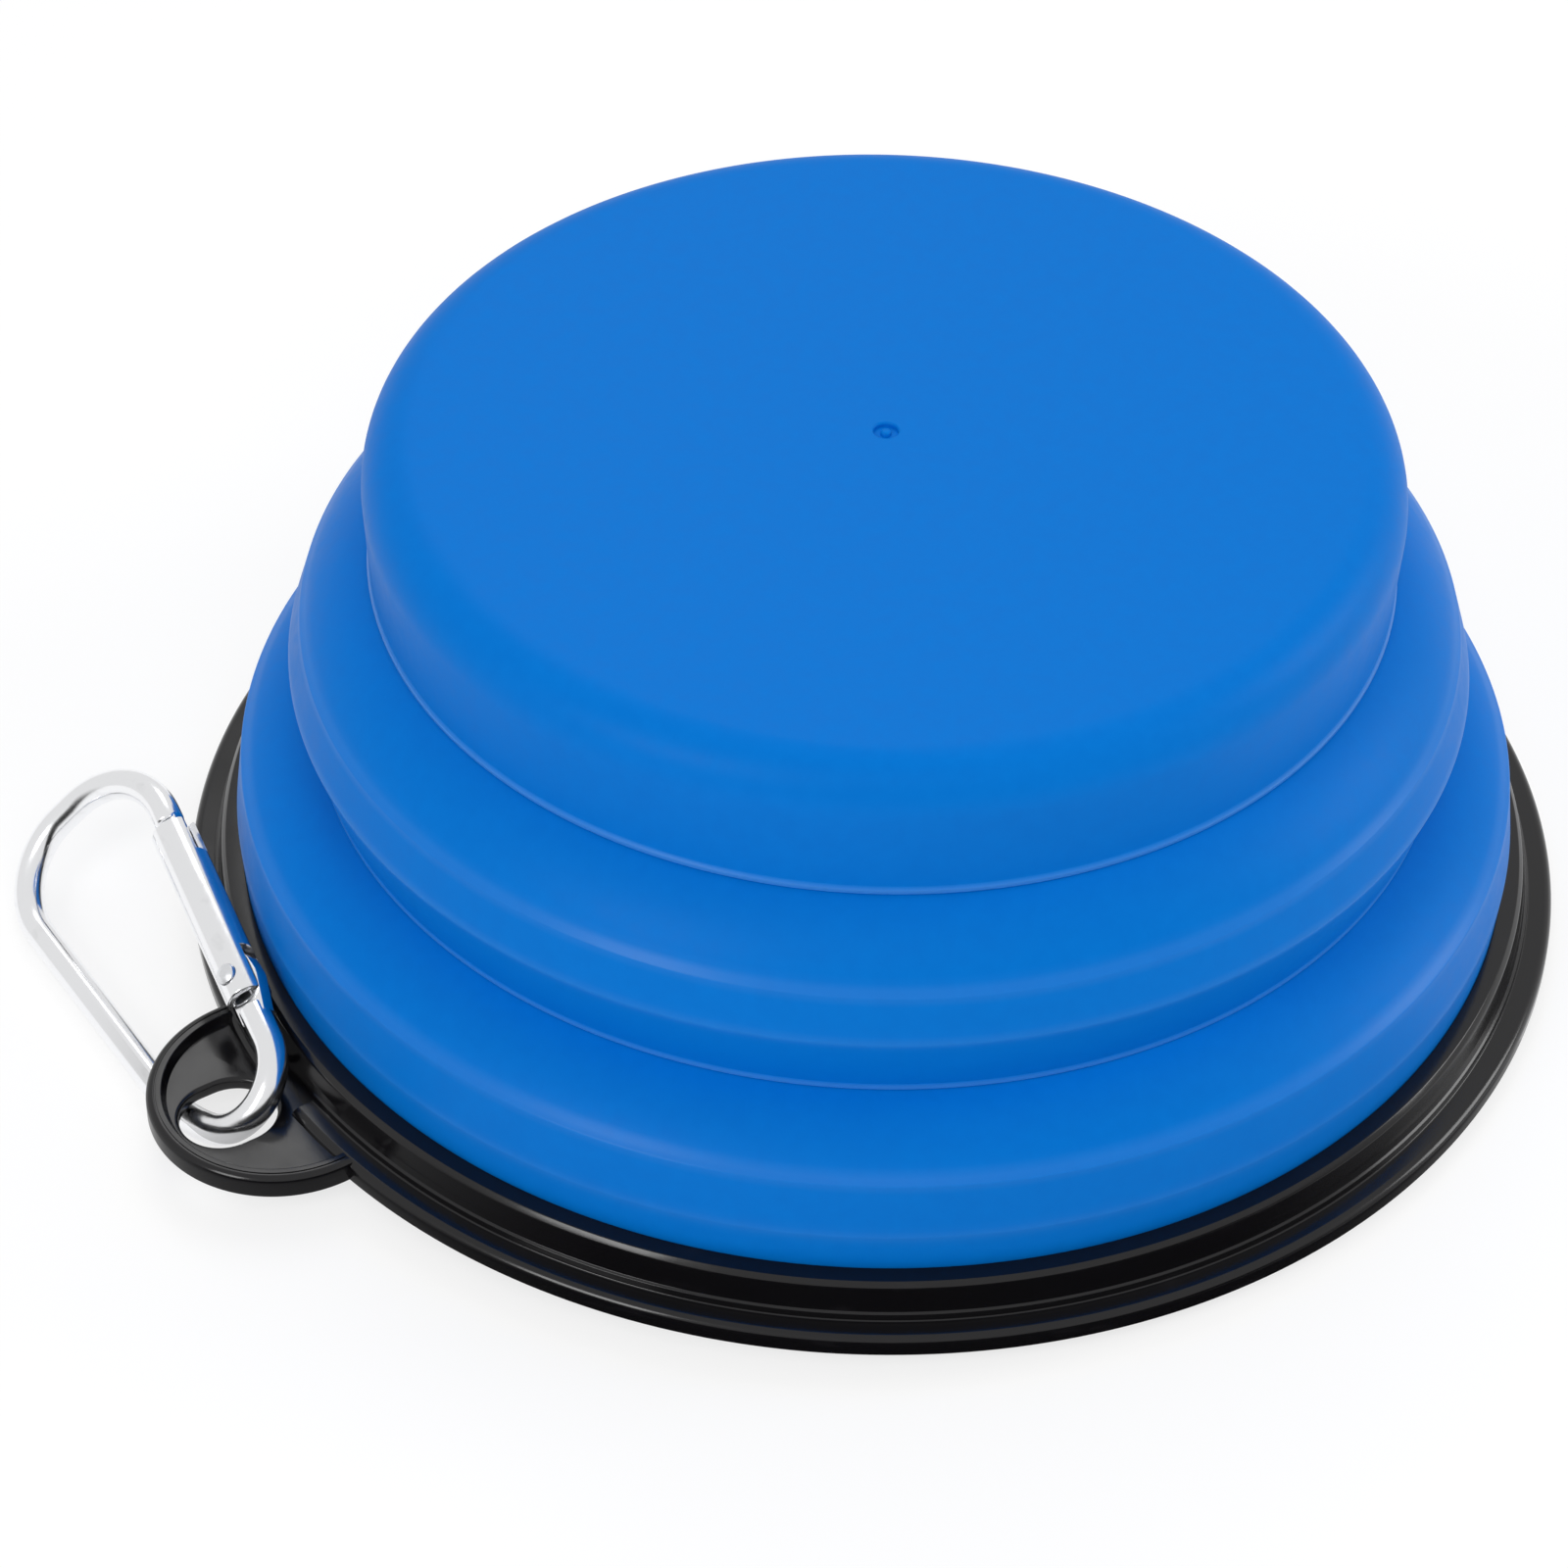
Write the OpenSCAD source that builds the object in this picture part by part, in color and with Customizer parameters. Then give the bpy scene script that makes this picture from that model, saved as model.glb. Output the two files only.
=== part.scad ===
// Collapsible pet bowl, shown upside down: a folding silicone shell held in a
// rigid rim ring, with a small spring-gate carabiner clipped through the rim's tab.
// Lengths in mm. Z runs up through the bowl's axis, the tab points to -X, and the
// origin is the centre of the base's flat face, so that the whole bowl lies below it.

/* [Rim ring] */
// Outside diameter of the rim ring
rim_d = 180; // [160:1:220]
// Width of the flat flange around the ring
flange_w = 3.2; // [2.8:0.1:4.5]
// Height of the flange
flange_t = 2.8; // [2.6:0.1:3]
// Rounding of the flange's upper outer edge
flange_round = 1.2; // [0.6:0.1:1.6]
// Rounding of the ring's lower outer edge
foot_round = 0.5; // [0.2:0.1:0.8]
// Height of the small step from the flange to the collar
step_rise = 1.1; // [0.8:0.1:1.4]
// How far that step leans in
step_lean = 0.4; // [0.2:0.1:0.6]
// Height of the collar's flat top above the rim's lower face
collar_h = 7.9; // [7.2:0.1:9]
// How far the collar's wall leans in from its foot to its edge
collar_lean = 1.3; // [0.8:0.1:1.8]
// Width of the collar's flat top, out to its edge
ledge_w = 2.2; // [2:0.1:3.2]
// Thickness of the inner lip under the silicone
lip_t = 2.2; // [2:0.1:2.4]
// How far that lip stands in past the silicone
lip_in = 0.4; // [0:0.1:1.2]

/* [Hang tab] */
// Outside diameter of the round tab
tab_d = 33.3; // [30:0.1:40]
// How far the tab stands out past the rim
tab_reach = 15.75; // [14.5:0.05:17]
// Height of the tab's raised border
tab_edge_h = 3.15; // [2.9:0.05:3.6]
// Width of the raised border
tab_edge_w = 2.7; // [2.2:0.1:3]
// Thickness of the tab's plate
tab_plate_t = 1.95; // [1.6:0.05:2.2]
// Length of the hole, away from the bowl
hole_l = 12.5; // [11.6:0.1:12.6]
// Width of the hole, along the rim
hole_w = 10.8; // [10.6:0.1:11.4]
// Width of the bar between the hole and the tab's tip
hole_bar = 3.15; // [2.9:0.05:3.4]
// Width of the gap in the flange next to the hole
notch_w = 9.2; // [7:0.1:11]

/* [Silicone shell] */
// Wall of the silicone, measured level
wall = 2; // [1.8:0.1:2.4]
// Thickness of the bowl's base
floor_t = 2.5; // [2:0.1:3.5]
// Height of the lower fold edge above the rim's lower face
lower_edge_h = 13.4; // [12:0.1:15]
// How far the shell swells out between the collar and that edge
lower_swell = 0.4; // [0.1:0.1:1]
// Rise of the wall above the lower fold edge
lower_wall_rise = 7.7; // [6:0.1:9]
// How far that wall leans in
lower_wall_lean = 1.2; // [0.6:0.1:2]
// Rise of the lower shoulder
lower_shoulder_rise = 6.2; // [5:0.1:8]
// How far the lower shoulder reaches in
lower_shoulder_reach = 9.9; // [8:0.1:11]
// Rise of the middle band between its crease and its fold edge
band_rise = 10.2; // [8:0.1:12]
// How far the middle band widens on the way up
band_lean = 3.2; // [1.5:0.1:4]
// Rise of the wall above the upper fold edge
upper_wall_rise = 5.9; // [4.5:0.1:7]
// How far that wall leans in
upper_wall_lean = 2; // [1:0.1:3]
// Rise of the upper shoulder
upper_shoulder_rise = 8.2; // [6:0.1:10]
// How far the upper shoulder reaches in
upper_shoulder_reach = 8.9; // [7:0.1:10]
// Rise of the base cup from its crease to the base's face
cup_rise = 18.4; // [14:0.1:22]
// How far the base cup widens towards the base
cup_lean = 0.5; // [0:0.1:1]
// Rounding of the base's edge
cup_round = 6.5; // [4:0.1:9]
// Diameter of the dimple in the middle of the base
dimple_d = 3.2; // [2:0.1:5]
// Depth of that dimple
dimple_t = 0.4; // [0.2:0.1:0.8]
// Diameter of the small stud in the dimple
stud_d = 1.4; // [0.8:0.1:1.8]
// How far the silicone's clamped bead stands out
bead_w = 2.3; // [1.6:0.1:2.4]
// Height of the clamped bead
bead_h = 1.8; // [1.2:0.1:2]

/* [Carabiner] */
// Diameter of the carabiner's rod
rod_d = 4; // [3.6:0.1:4.2]
// Angle at which the carabiner leans on the rim
cara_tilt = 44.5; // [43.5:0.5:50]
// How far the spine stands in from the tab's tip
spine_inset = 6.05; // [5.9:0.05:6.3]
// How far the spine's middle lies below the rim's lower face
spine_drop = 2.92; // [2.8:0.02:3.2]
// Length from the tab's middle to the top corner on the spine
spine_l = 58.8; // [54:0.1:70]
// Width from the spine to the corner over the gate
head_w = 26.5; // [25.5:0.1:28]
// How much lower the corner over the gate is
head_fall = 5.3; // [3:0.1:8]
// Bend radius at the spine's top corner
spine_bend_r = 10; // [6:0.1:14]
// Bend radius at the corner over the gate
gate_bend_r = 11.8; // [6:0.1:13]
// Height above the tab's middle at which the spine starts to bend in
hook_start = 11.6; // [11.2:0.1:12]
// Bend radius of the long curve below the spine
hook_r = 23.5; // [22.5:0.1:25]
// Angle of that long curve
hook_angle = 24.7; // [24:0.1:26]
// Bend radius of the hook that passes through the tab
tip_r = 7.1; // [6.9:0.05:7.3]

/* [Gate] */
// Outside diameter of the gate
gate_d = 5.9; // [5.4:0.1:6]
// Bore of the gate
gate_bore = 4; // [3.6:0.1:4.2]
// Gap between the gate's nose and the round rod above it
nose_gap = 1.05; // [0.4:0.05:1.4]
// Length of straight rod between that gap and the bend
nose_lead = 2.3; // [0.5:0.1:4]
// Distance from the gate's lower end to its rivet
gate_tail = 3.4; // [3.2:0.05:4]
// Height of the rivet above the tab's middle
rivet_y = 13; // [12.6:0.1:15]
// Diameter of the rivet's shank
rivet_d = 2; // [1.6:0.1:2.2]
// Diameter of the rivet's head
rivet_head_d = 2.8; // [2.6:0.1:3.2]
// Diameter of the pin in the gate's nose
pin_d = 1; // [0.8:0.1:1.2]
// Thickness of the flattened ends of the rod
tang_t = 2; // [1.6:0.1:2.2]

/* [Hidden] */
$fn = 96;
// Steps along a rounded outline
round_steps = 6;
// Steps along a shoulder's curve
shoulder_steps = 6;
// How far cuts run past the faces they open
overrun = 1;
// Gap between the bead and its groove
seat_gap = 0.1;
// Radial gap of the gate on its rivet
run_gap = 0.05;
// Gap between a flattened end and the slot around it, on each side
slot_gap = 0.2;
// How much a bend draws the rod thinner
draw_step = 0.01;
// How far each run of the rod reaches into the next
run_lap = 0.1;
// Gap kept between parts of the gate and the rod that pass each other
pass_gap = 0.3;

// Radii of the rim ring, from the outside in
rim_r = rim_d / 2;
flange_in_r = rim_r - flange_w;
collar_foot_r = flange_in_r - step_lean;
collar_edge_r = collar_foot_r - collar_lean;
// Radii of the silicone, from the collar up to the base
shell_r = collar_edge_r - ledge_w;
lower_edge_r = shell_r + lower_swell;
lower_wall_r = lower_edge_r - lower_wall_lean;
lower_crease_r = lower_wall_r - lower_shoulder_reach;
upper_edge_r = lower_crease_r + band_lean;
upper_wall_r = upper_edge_r - upper_wall_lean;
upper_crease_r = upper_wall_r - upper_shoulder_reach;
base_r = upper_crease_r + cup_lean;
// Heights above the rim's lower face
lower_wall_h = lower_edge_h + lower_wall_rise;
lower_crease_h = lower_wall_h + lower_shoulder_rise;
upper_edge_h = lower_crease_h + band_rise;
upper_wall_h = upper_edge_h + upper_wall_rise;
upper_crease_h = upper_wall_h + upper_shoulder_rise;
bowl_h = upper_crease_h + cup_rise;
// Where a shoulder's curve pulls to, from its crease: share of its reach and of its rise
shoulder_pull_shares = [0.69, 0.37];
// Outline of the collar's wall: shares of its lean in from the foot and of its rise
collar_wall_shares = [[0, 0], [0.2, 0.1], [0.35, 0.28], [0.75, 0.8], [1, 0.93]];
// Rounding of the collar's upper edge, as a share of its flat top
collar_round_share = 0.14;

// Places of the tab and its hole
tab_x = rim_r + tab_reach - tab_d / 2;
hole_out_x = rim_r + tab_reach - hole_bar;
hole_r = hole_w / 2;
hole_far_x = hole_out_x - hole_r;
hole_near_x = hole_out_x - hole_l + hole_r;
// Outline of the raised border: shares of its width in from the outside, and of its height
border_shares = [[0, 0.08], [0, 0.66], [0.06, 0.82], [0.18, 0.94], [0.36, 1], [0.74, 1], [1, 0.5]];
// The raised border stops over the flange, this share of the flange's width in
border_stop_share = 0.2;
// Corner radius of the gap in the flange, as a share of its width
notch_round_share = 0.12;

// The carabiner's centre-line, in its own plane: X across from the spine, Y along it
rod_r = rod_d / 2;
spine_x = rim_r + tab_reach - spine_inset;
spine_top = [0, spine_l];
gate_top = [head_w, spine_l - head_fall];
hook_c = [hook_r, hook_start];
hook_end = hook_c - hook_r * [cos(hook_angle), sin(hook_angle)];
tip_c = hook_end + tip_r * [cos(hook_angle), sin(hook_angle)];
to_top = gate_top - tip_c;
tip_end_angle = atan2(to_top.y, to_top.x) - acos(tip_r / norm(to_top));
tip_end = tip_c + tip_r * [cos(tip_end_angle), sin(tip_end_angle)];
gate_dir = (gate_top - tip_end) / norm(gate_top - tip_end);
gate_lean = atan2(gate_dir.x, gate_dir.y);
rivet_at = tip_end + gate_dir * (rivet_y - tip_end.y) / gate_dir.y;
down = [0, -1];
across = heading(spine_top, gate_top);
spine_cut = bend_cut(down, across, spine_bend_r);
gate_cut = bend_cut(-across, -gate_dir, gate_bend_r);

// Along the gate, from the rivet: Y towards the nose, X away from the spine
gate_r = gate_d / 2;
nose_shoulder = norm(gate_top - rivet_at) - gate_cut - nose_lead;
gate_nose = nose_shoulder - nose_gap;
swing_r = norm([gate_r, gate_tail]) + pass_gap;
slot_t = tang_t + 2 * slot_gap;
tail_slot_l = gate_tail * 1.1;
nose_slot_l = gate_d * 0.95;
nose_tang_l = gate_d * 0.95;
pin_y = gate_nose - gate_d * 0.26;
pin_slot_r = pin_d / 2 + pass_gap;
bore_end = gate_nose * 0.64;
head_seat = gate_r * 0.83;
head_t = gate_r * 0.14;
head_dome = gate_r * 0.13;
edge_cut = gate_r * 0.1;
// Outline of the flattened end at the rivet: shares of the gate's radius
tail_tang_shares = [[-0.66, -2.2], [-0.66, 0], [-0.5, 0.5], [-0.07, 0.62], [0.3, 0.66], [0.45, 0.82],
                    [0.6, 0.98], [0.78, 0.88], [0.93, 0.55], [1.02, 0.1], [1.04, -0.35],
                    [0.96, -0.95], [0.8, -1.5], [0.66, -2.2]];
// Half width of the flattened nose, and the size of its corner cuts, as shares of the rod's radius
nose_tang_share = 0.85;
nose_corner_share = 0.3;

// The spring and its plunger in the gate's bore
plunger_head_y = tail_slot_l;
plunger_head_l = gate_bore * 0.4;
plunger_tip_d = gate_bore * 0.38;
plunger_tip_y = gate_r * tail_tang_shares[4].y + pass_gap;
plunger_head_d = gate_bore * 0.92;
spring_start = plunger_head_y + plunger_head_l;
spring_wire_d = gate_bore * 0.12;
spring_r = (gate_bore * 0.9 - spring_wire_d) / 2;
spring_turns = 7;
spring_sides = 8;
spring_turn_steps = 18;

// Points of a quadratic curve
function curve(a, pull, b, steps) =
    [for (i = [0 : steps]) let (t = i / steps) (1 - t) * (1 - t) * a + 2 * t * (1 - t) * pull + t * t * b];

// Points of an arc
function arc(centre, r, from, to, steps) =
    [for (i = [0 : steps]) let (a = from + (to - from) * i / steps) centre + r * [cos(a), sin(a)]];

// The shoulder's outline from its crease out and down to its wall
function shoulder(crease, foot) =
    let (pull = crease + [(foot.x - crease.x) * shoulder_pull_shares.x,
                          (foot.y - crease.y) * shoulder_pull_shares.y])
    curve(crease, pull, foot, shoulder_steps);

// A closed wall outline from an outer line: the inner line is the outer one moved in level
function walled(outer) =
    concat(outer, [for (i = [len(outer) - 1 : -1 : 0]) outer[i] - [wall, 0]]);

// Puts what is modelled from the rim's lower face into the bowl's own frame
module from_rim() {
    translate([0, 0, -bowl_h]) children();
}

// Spins an outline of radii and heights above the rim's lower face
module shell(outline) {
    from_rim() rotate_extrude($fn = 180) polygon(outline);
}

// The rigid cup around the base, with the moulding mark in the middle of its face
module base_cup() {
    edge_c = [base_r - cup_round, bowl_h - cup_round];
    outer = concat([[stud_d / 2, bowl_h - dimple_t], [dimple_d / 2, bowl_h - dimple_t],
                    [dimple_d / 2, bowl_h]],
                   arc(edge_c, cup_round, 90, 0, round_steps),
                   [[upper_crease_r, upper_crease_h]]);
    inner_round = cup_round - wall;
    inner_c = [edge_c.x, bowl_h - floor_t - inner_round];
    inner = concat([[upper_crease_r - wall, upper_crease_h]],
                   arc(inner_c, inner_round, 0, 90, round_steps),
                   [[0, bowl_h - floor_t]]);
    color([0.0, 0.4, 0.75])
    shell(concat([[0, bowl_h], [stud_d / 2, bowl_h]], outer, inner));
}

// The web that rolls over when the base is pushed down
module upper_fold() {
    color([0.0, 0.42, 0.78])
    shell(walled(concat(shoulder([upper_crease_r, upper_crease_h], [upper_wall_r, upper_wall_h]),
                        [[upper_edge_r, upper_edge_h]])));
}

// The stiff band between the two webs
module middle_band() {
    color([0.0, 0.4, 0.75])
    shell(walled([[upper_edge_r, upper_edge_h], [lower_crease_r, lower_crease_h]]));
}

// The web that rolls over when the middle band is pushed down
module lower_fold() {
    color([0.0, 0.42, 0.78])
    shell(walled(concat(shoulder([lower_crease_r, lower_crease_h], [lower_wall_r, lower_wall_h]),
                        [[lower_edge_r, lower_edge_h]])));
}

// The band that the rim ring holds by its clamped bead
module outer_band() {
    bead_r = shell_r + bead_w;
    bead_top = lip_t + bead_h;
    color([0.0, 0.4, 0.75])
    shell([[lower_edge_r, lower_edge_h], [shell_r, collar_h], [shell_r, bead_top], [bead_r, bead_top],
           [bead_r, lip_t], [shell_r - wall, lip_t], [shell_r - wall, collar_h],
           [lower_edge_r - wall, lower_edge_h]]);
}

// The ring's cross-section, with the groove for the bead
module ring_section() {
    foot_h = flange_t + step_rise;
    rise = collar_h - foot_h;
    round_w = ledge_w * collar_round_share;
    groove_r = shell_r + bead_w + seat_gap;
    collar_wall = [for (s = collar_wall_shares) [collar_foot_r - collar_lean * s.x, foot_h + rise * s.y]];
    polygon(concat(
        [[shell_r - wall - lip_in, 0]],
        arc([rim_r - foot_round, foot_round], foot_round, -90, 0, round_steps),
        arc([rim_r - flange_round, flange_t - flange_round], flange_round, 0, 90, round_steps),
        [[flange_in_r, flange_t], [flange_in_r - step_lean / 4, foot_h - step_lean / 2]],
        collar_wall,
        [[collar_edge_r - round_w, collar_h], [shell_r + seat_gap, collar_h],
         [shell_r + seat_gap, lip_t + bead_h], [groove_r, lip_t + bead_h], [groove_r, lip_t],
         [shell_r - wall - lip_in, lip_t]]));
}

// The hole in the tab, as an upright cutter
module tab_hole() {
    span = hole_far_x - hole_near_x;
    for (x = [hole_far_x, hole_near_x])
        translate([-x, 0, -overrun])
            cylinder(h = tab_edge_h + 2 * overrun, r = hole_r);
    translate([-hole_far_x, -hole_r, -overrun])
        cube([span, hole_w, tab_edge_h + 2 * overrun]);
}

// The gap in the flange next to the hole, down to the tab's plate
module flange_notch() {
    corner_r = notch_w * notch_round_share;
    depth = flange_w + step_lean;
    cut_h = flange_t + step_rise + overrun - tab_plate_t;
    translate([-rim_r - overrun, 0, tab_plate_t])
        difference() {
            translate([0, -notch_w / 2, 0])
                cube([depth + overrun, notch_w, cut_h]);
            for (side = [-1, 1])
                translate([depth + overrun - corner_r, side * (notch_w / 2 - corner_r), -overrun])
                    difference() {
                        translate([0, side > 0 ? 0 : -corner_r - overrun, 0])
                            cube([corner_r + overrun, corner_r + overrun, cut_h + 2 * overrun]);
                        cylinder(h = cut_h + 2 * overrun, r = corner_r);
                    }
        }
}

// The ring with its round tab, one moulding
module rim_ring() {
    border = [for (s = border_shares) [tab_d / 2 - tab_edge_w * s.x, tab_edge_h * s.y]];
    border_foot = [tab_d / 2 - tab_edge_h * border_shares[0].y, 0];
    ring_bore_r = shell_r - wall - lip_in;
    color([0.08, 0.08, 0.09])
    from_rim() difference() {
        union() {
            rotate_extrude($fn = 180) ring_section();
            difference() {
                translate([-tab_x, 0, 0])
                    rotate_extrude() polygon(concat([[tab_d / 2 - tab_edge_w, 0], border_foot], border));
                translate([0, 0, -overrun])
                    cylinder(h = tab_edge_h + 2 * overrun, r = rim_r - flange_w * border_stop_share, $fn = 180);
            }
            difference() {
                translate([-tab_x, 0, 0]) cylinder(h = tab_plate_t, r = tab_d / 2 - tab_edge_w / 2);
                translate([0, 0, -overrun])
                    cylinder(h = tab_plate_t + 2 * overrun, r = flange_in_r, $fn = 180);
            }
        }
        tab_hole();
        flange_notch();
    }
}

// Puts the carabiner's own plane where it leans on the rim
module carabiner_place() {
    from_rim() translate([-spine_x, 0, -spine_drop]) rotate([0, -cara_tilt, 0]) children();
}

// The gate's own frame at the rivet, within the carabiner's plane
module gate_frame() {
    translate([rivet_at.x, rivet_at.y, 0]) rotate([0, 0, -gate_lean]) children();
}

// Puts a piece of the gate where it belongs
module gate_place() {
    carabiner_place() gate_frame() children();
}

// A straight run of rod between two points of the carabiner's plane
module rod_run(a, b) {
    run = b - a;
    translate([a.x, a.y, 0]) rotate([0, 0, atan2(run.y, run.x)]) rotate([0, 90, 0])
        translate([0, 0, -run_lap]) cylinder(h = norm(run) + 2 * run_lap, r = rod_r);
}

// A bent run of rod, drawn thinner by this many draw steps than a straight run
module rod_bend(centre, r, from, sweep, draws) {
    translate([centre.x, centre.y, 0]) rotate([0, 0, from])
        rotate_extrude(angle = sweep) translate([r, 0]) circle(r = rod_r - draws * draw_step);
}

// Unit vector from one point to another
function heading(a, b) = (b - a) / norm(b - a);

// Distance from a corner to where its bend starts
function bend_cut(u, v, r) = r / tan(acos(u * v) / 2);

// Centre of the bend at a corner
function bend_centre(corner, u, v, r) = corner + (u + v) / norm(u + v) * r / sin(acos(u * v) / 2);

// The bent rod with its flattened ends
module carabiner_frame() {
    spine_bend_c = bend_centre(spine_top, down, across, spine_bend_r);
    gate_bend_c = bend_centre(gate_top, -across, -gate_dir, gate_bend_r);
    across_angle = atan2(across.y, across.x);
    lap_angle = atan(run_lap / tip_r);
    color([0.78, 0.79, 0.81])
    carabiner_place() difference() {
        union() {
            rod_run([0, hook_start], spine_top + down * spine_cut);
            rod_bend(spine_bend_c, spine_bend_r, across_angle + 90, 90 - across_angle, 1);
            rod_run(spine_top + across * spine_cut, gate_top - across * gate_cut);
            rod_bend(gate_bend_c, gate_bend_r, -gate_lean, across_angle + 90 + gate_lean, 1);
            rod_run(rivet_at + gate_dir * (nose_shoulder + run_lap), gate_top - gate_dir * gate_cut);
            rod_bend(hook_c, hook_r, 180, hook_angle, 2);
            rod_bend(tip_c, tip_r, 180 + hook_angle - lap_angle,
                     tip_end_angle + 180 - hook_angle + lap_angle, 1);
            rod_run(tip_end, rivet_at - gate_dir * gate_tail);
            gate_frame() tail_tang();
            gate_frame() nose_tang();
        }
        gate_frame() tail_relief();
        gate_frame() cylinder(h = 2 * rod_d, r = rivet_d / 2, center = true);
    }
}

// The flattened end around the rivet
module tail_tang() {
    linear_extrude(height = tang_t, center = true) polygon(gate_r * tail_tang_shares);
}

// Clears the round rod above and below the flattened end, as far as the gate's tail swings
module tail_relief() {
    for (side = [-1, 1])
        translate([0, 0, side * (tang_t + rod_d) / 2])
            cylinder(h = rod_d, r = swing_r, center = true);
}

// The flattened nose with its hook around the latch pin
module nose_tang() {
    half = rod_r * nose_tang_share;
    corner = rod_r * nose_corner_share;
    tip_y = nose_shoulder - nose_tang_l;
    linear_extrude(height = tang_t, center = true)
        difference() {
            polygon([[half, nose_shoulder + overrun], [half, tip_y + corner], [half - corner, tip_y],
                     [corner - half, tip_y], [-half, tip_y + corner], [-half, nose_shoulder + overrun]]);
            translate([0, pin_y]) circle(r = pin_slot_r, $fn = 32);
            translate([-half - overrun, pin_y - pin_slot_r]) square([half + overrun, 2 * pin_slot_r]);
        }
}

// The gate: a drilled rod, slotted at both ends
module carabiner_gate() {
    color([0.82, 0.83, 0.85])
    gate_place() difference() {
        rotate([-90, 0, 0]) rotate_extrude()
            polygon([[0, -gate_tail], [gate_r - edge_cut, -gate_tail], [gate_r, edge_cut - gate_tail],
                     [gate_r, gate_nose - edge_cut], [gate_r - edge_cut, gate_nose], [0, gate_nose]]);
        translate([0, -gate_tail - overrun, 0]) rotate([-90, 0, 0])
            cylinder(h = gate_tail + overrun + bore_end, r = gate_bore / 2);
        translate([-gate_d, -gate_tail - overrun, -slot_t / 2])
            cube([2 * gate_d, gate_tail + overrun + tail_slot_l, slot_t]);
        translate([-gate_d, gate_nose - nose_slot_l, -slot_t / 2])
            cube([2 * gate_d, nose_slot_l + overrun, slot_t]);
        cylinder(h = 2 * gate_d, r = rivet_d / 2 + run_gap, center = true);
        for (side = [-1, 1])
            translate([0, 0, side * (head_seat + gate_r / 2)])
                cylinder(h = gate_r, r = rivet_head_d / 2 + run_gap, center = true);
        translate([0, pin_y, 0]) cylinder(h = 2 * gate_d, r = pin_d / 2, center = true);
    }
}

// The rivet that the gate turns on, with a domed head at each end
module gate_rivet() {
    top = head_seat + head_t + head_dome;
    half = [[0, 0], [rivet_d / 2, 0], [rivet_d / 2, head_seat], [rivet_head_d / 2, head_seat],
            [rivet_head_d / 2, head_seat + head_t], [rivet_head_d / 4, top - head_dome / 4], [0, top]];
    color([0.75, 0.76, 0.78])
    gate_place() union() {
        rotate_extrude() polygon(half);
        mirror([0, 0, 1]) rotate_extrude() polygon(half);
    }
}

// The pin that the nose's hook closes around
module latch_pin() {
    color([0.75, 0.76, 0.78])
    gate_place() translate([0, pin_y, 0])
        cylinder(h = gate_d - edge_cut, r = pin_d / 2, center = true);
}

// The closing spring in the gate's bore, one unbroken wire
module gate_spring() {
    steps = spring_turns * spring_turn_steps;
    wire_r = spring_wire_d / 2;
    climb = bore_end - spring_start - spring_wire_d;
    points = [for (i = [0 : steps]) for (j = [0 : spring_sides - 1])
        let (turn = 360 * spring_turns * i / steps, side = 360 * j / spring_sides,
             r = spring_r + wire_r * cos(side))
        [r * cos(turn), r * sin(turn), climb * i / steps + wire_r * (1 + sin(side))]];
    sides = [for (i = [0 : steps - 1]) for (j = [0 : spring_sides - 1])
        let (k = (j + 1) % spring_sides)
        [i * spring_sides + j, (i + 1) * spring_sides + j, (i + 1) * spring_sides + k, i * spring_sides + k]];
    first = [for (j = [0 : spring_sides - 1]) j];
    last = [for (j = [spring_sides - 1 : -1 : 0]) steps * spring_sides + j];
    color([0.6, 0.6, 0.62])
    gate_place() translate([0, spring_start, 0]) rotate([-90, 0, 0])
        polyhedron(points = points, faces = concat(sides, [first], [last]));
}

// The plunger between the spring and the flattened end
module spring_plunger() {
    color([0.7, 0.7, 0.72])
    gate_place() rotate([-90, 0, 0]) rotate_extrude()
        polygon([[0, plunger_tip_y], [plunger_tip_d / 2, plunger_tip_y], [plunger_tip_d / 2, plunger_head_y],
                 [plunger_head_d / 2, plunger_head_y], [plunger_head_d / 2, spring_start], [0, spring_start]]);
}

base_cup();
upper_fold();
middle_band();
lower_fold();
outer_band();
rim_ring();
carabiner_frame();
carabiner_gate();
gate_rivet();
latch_pin();
gate_spring();
spring_plunger();
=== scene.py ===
from math import acos, atan2, ceil, cos, degrees, hypot, pi, radians, sin, tan

import bmesh
import bpy
from bpy.props import FloatProperty, FloatVectorProperty, IntProperty, PointerProperty
from mathutils import Matrix, Vector


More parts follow.
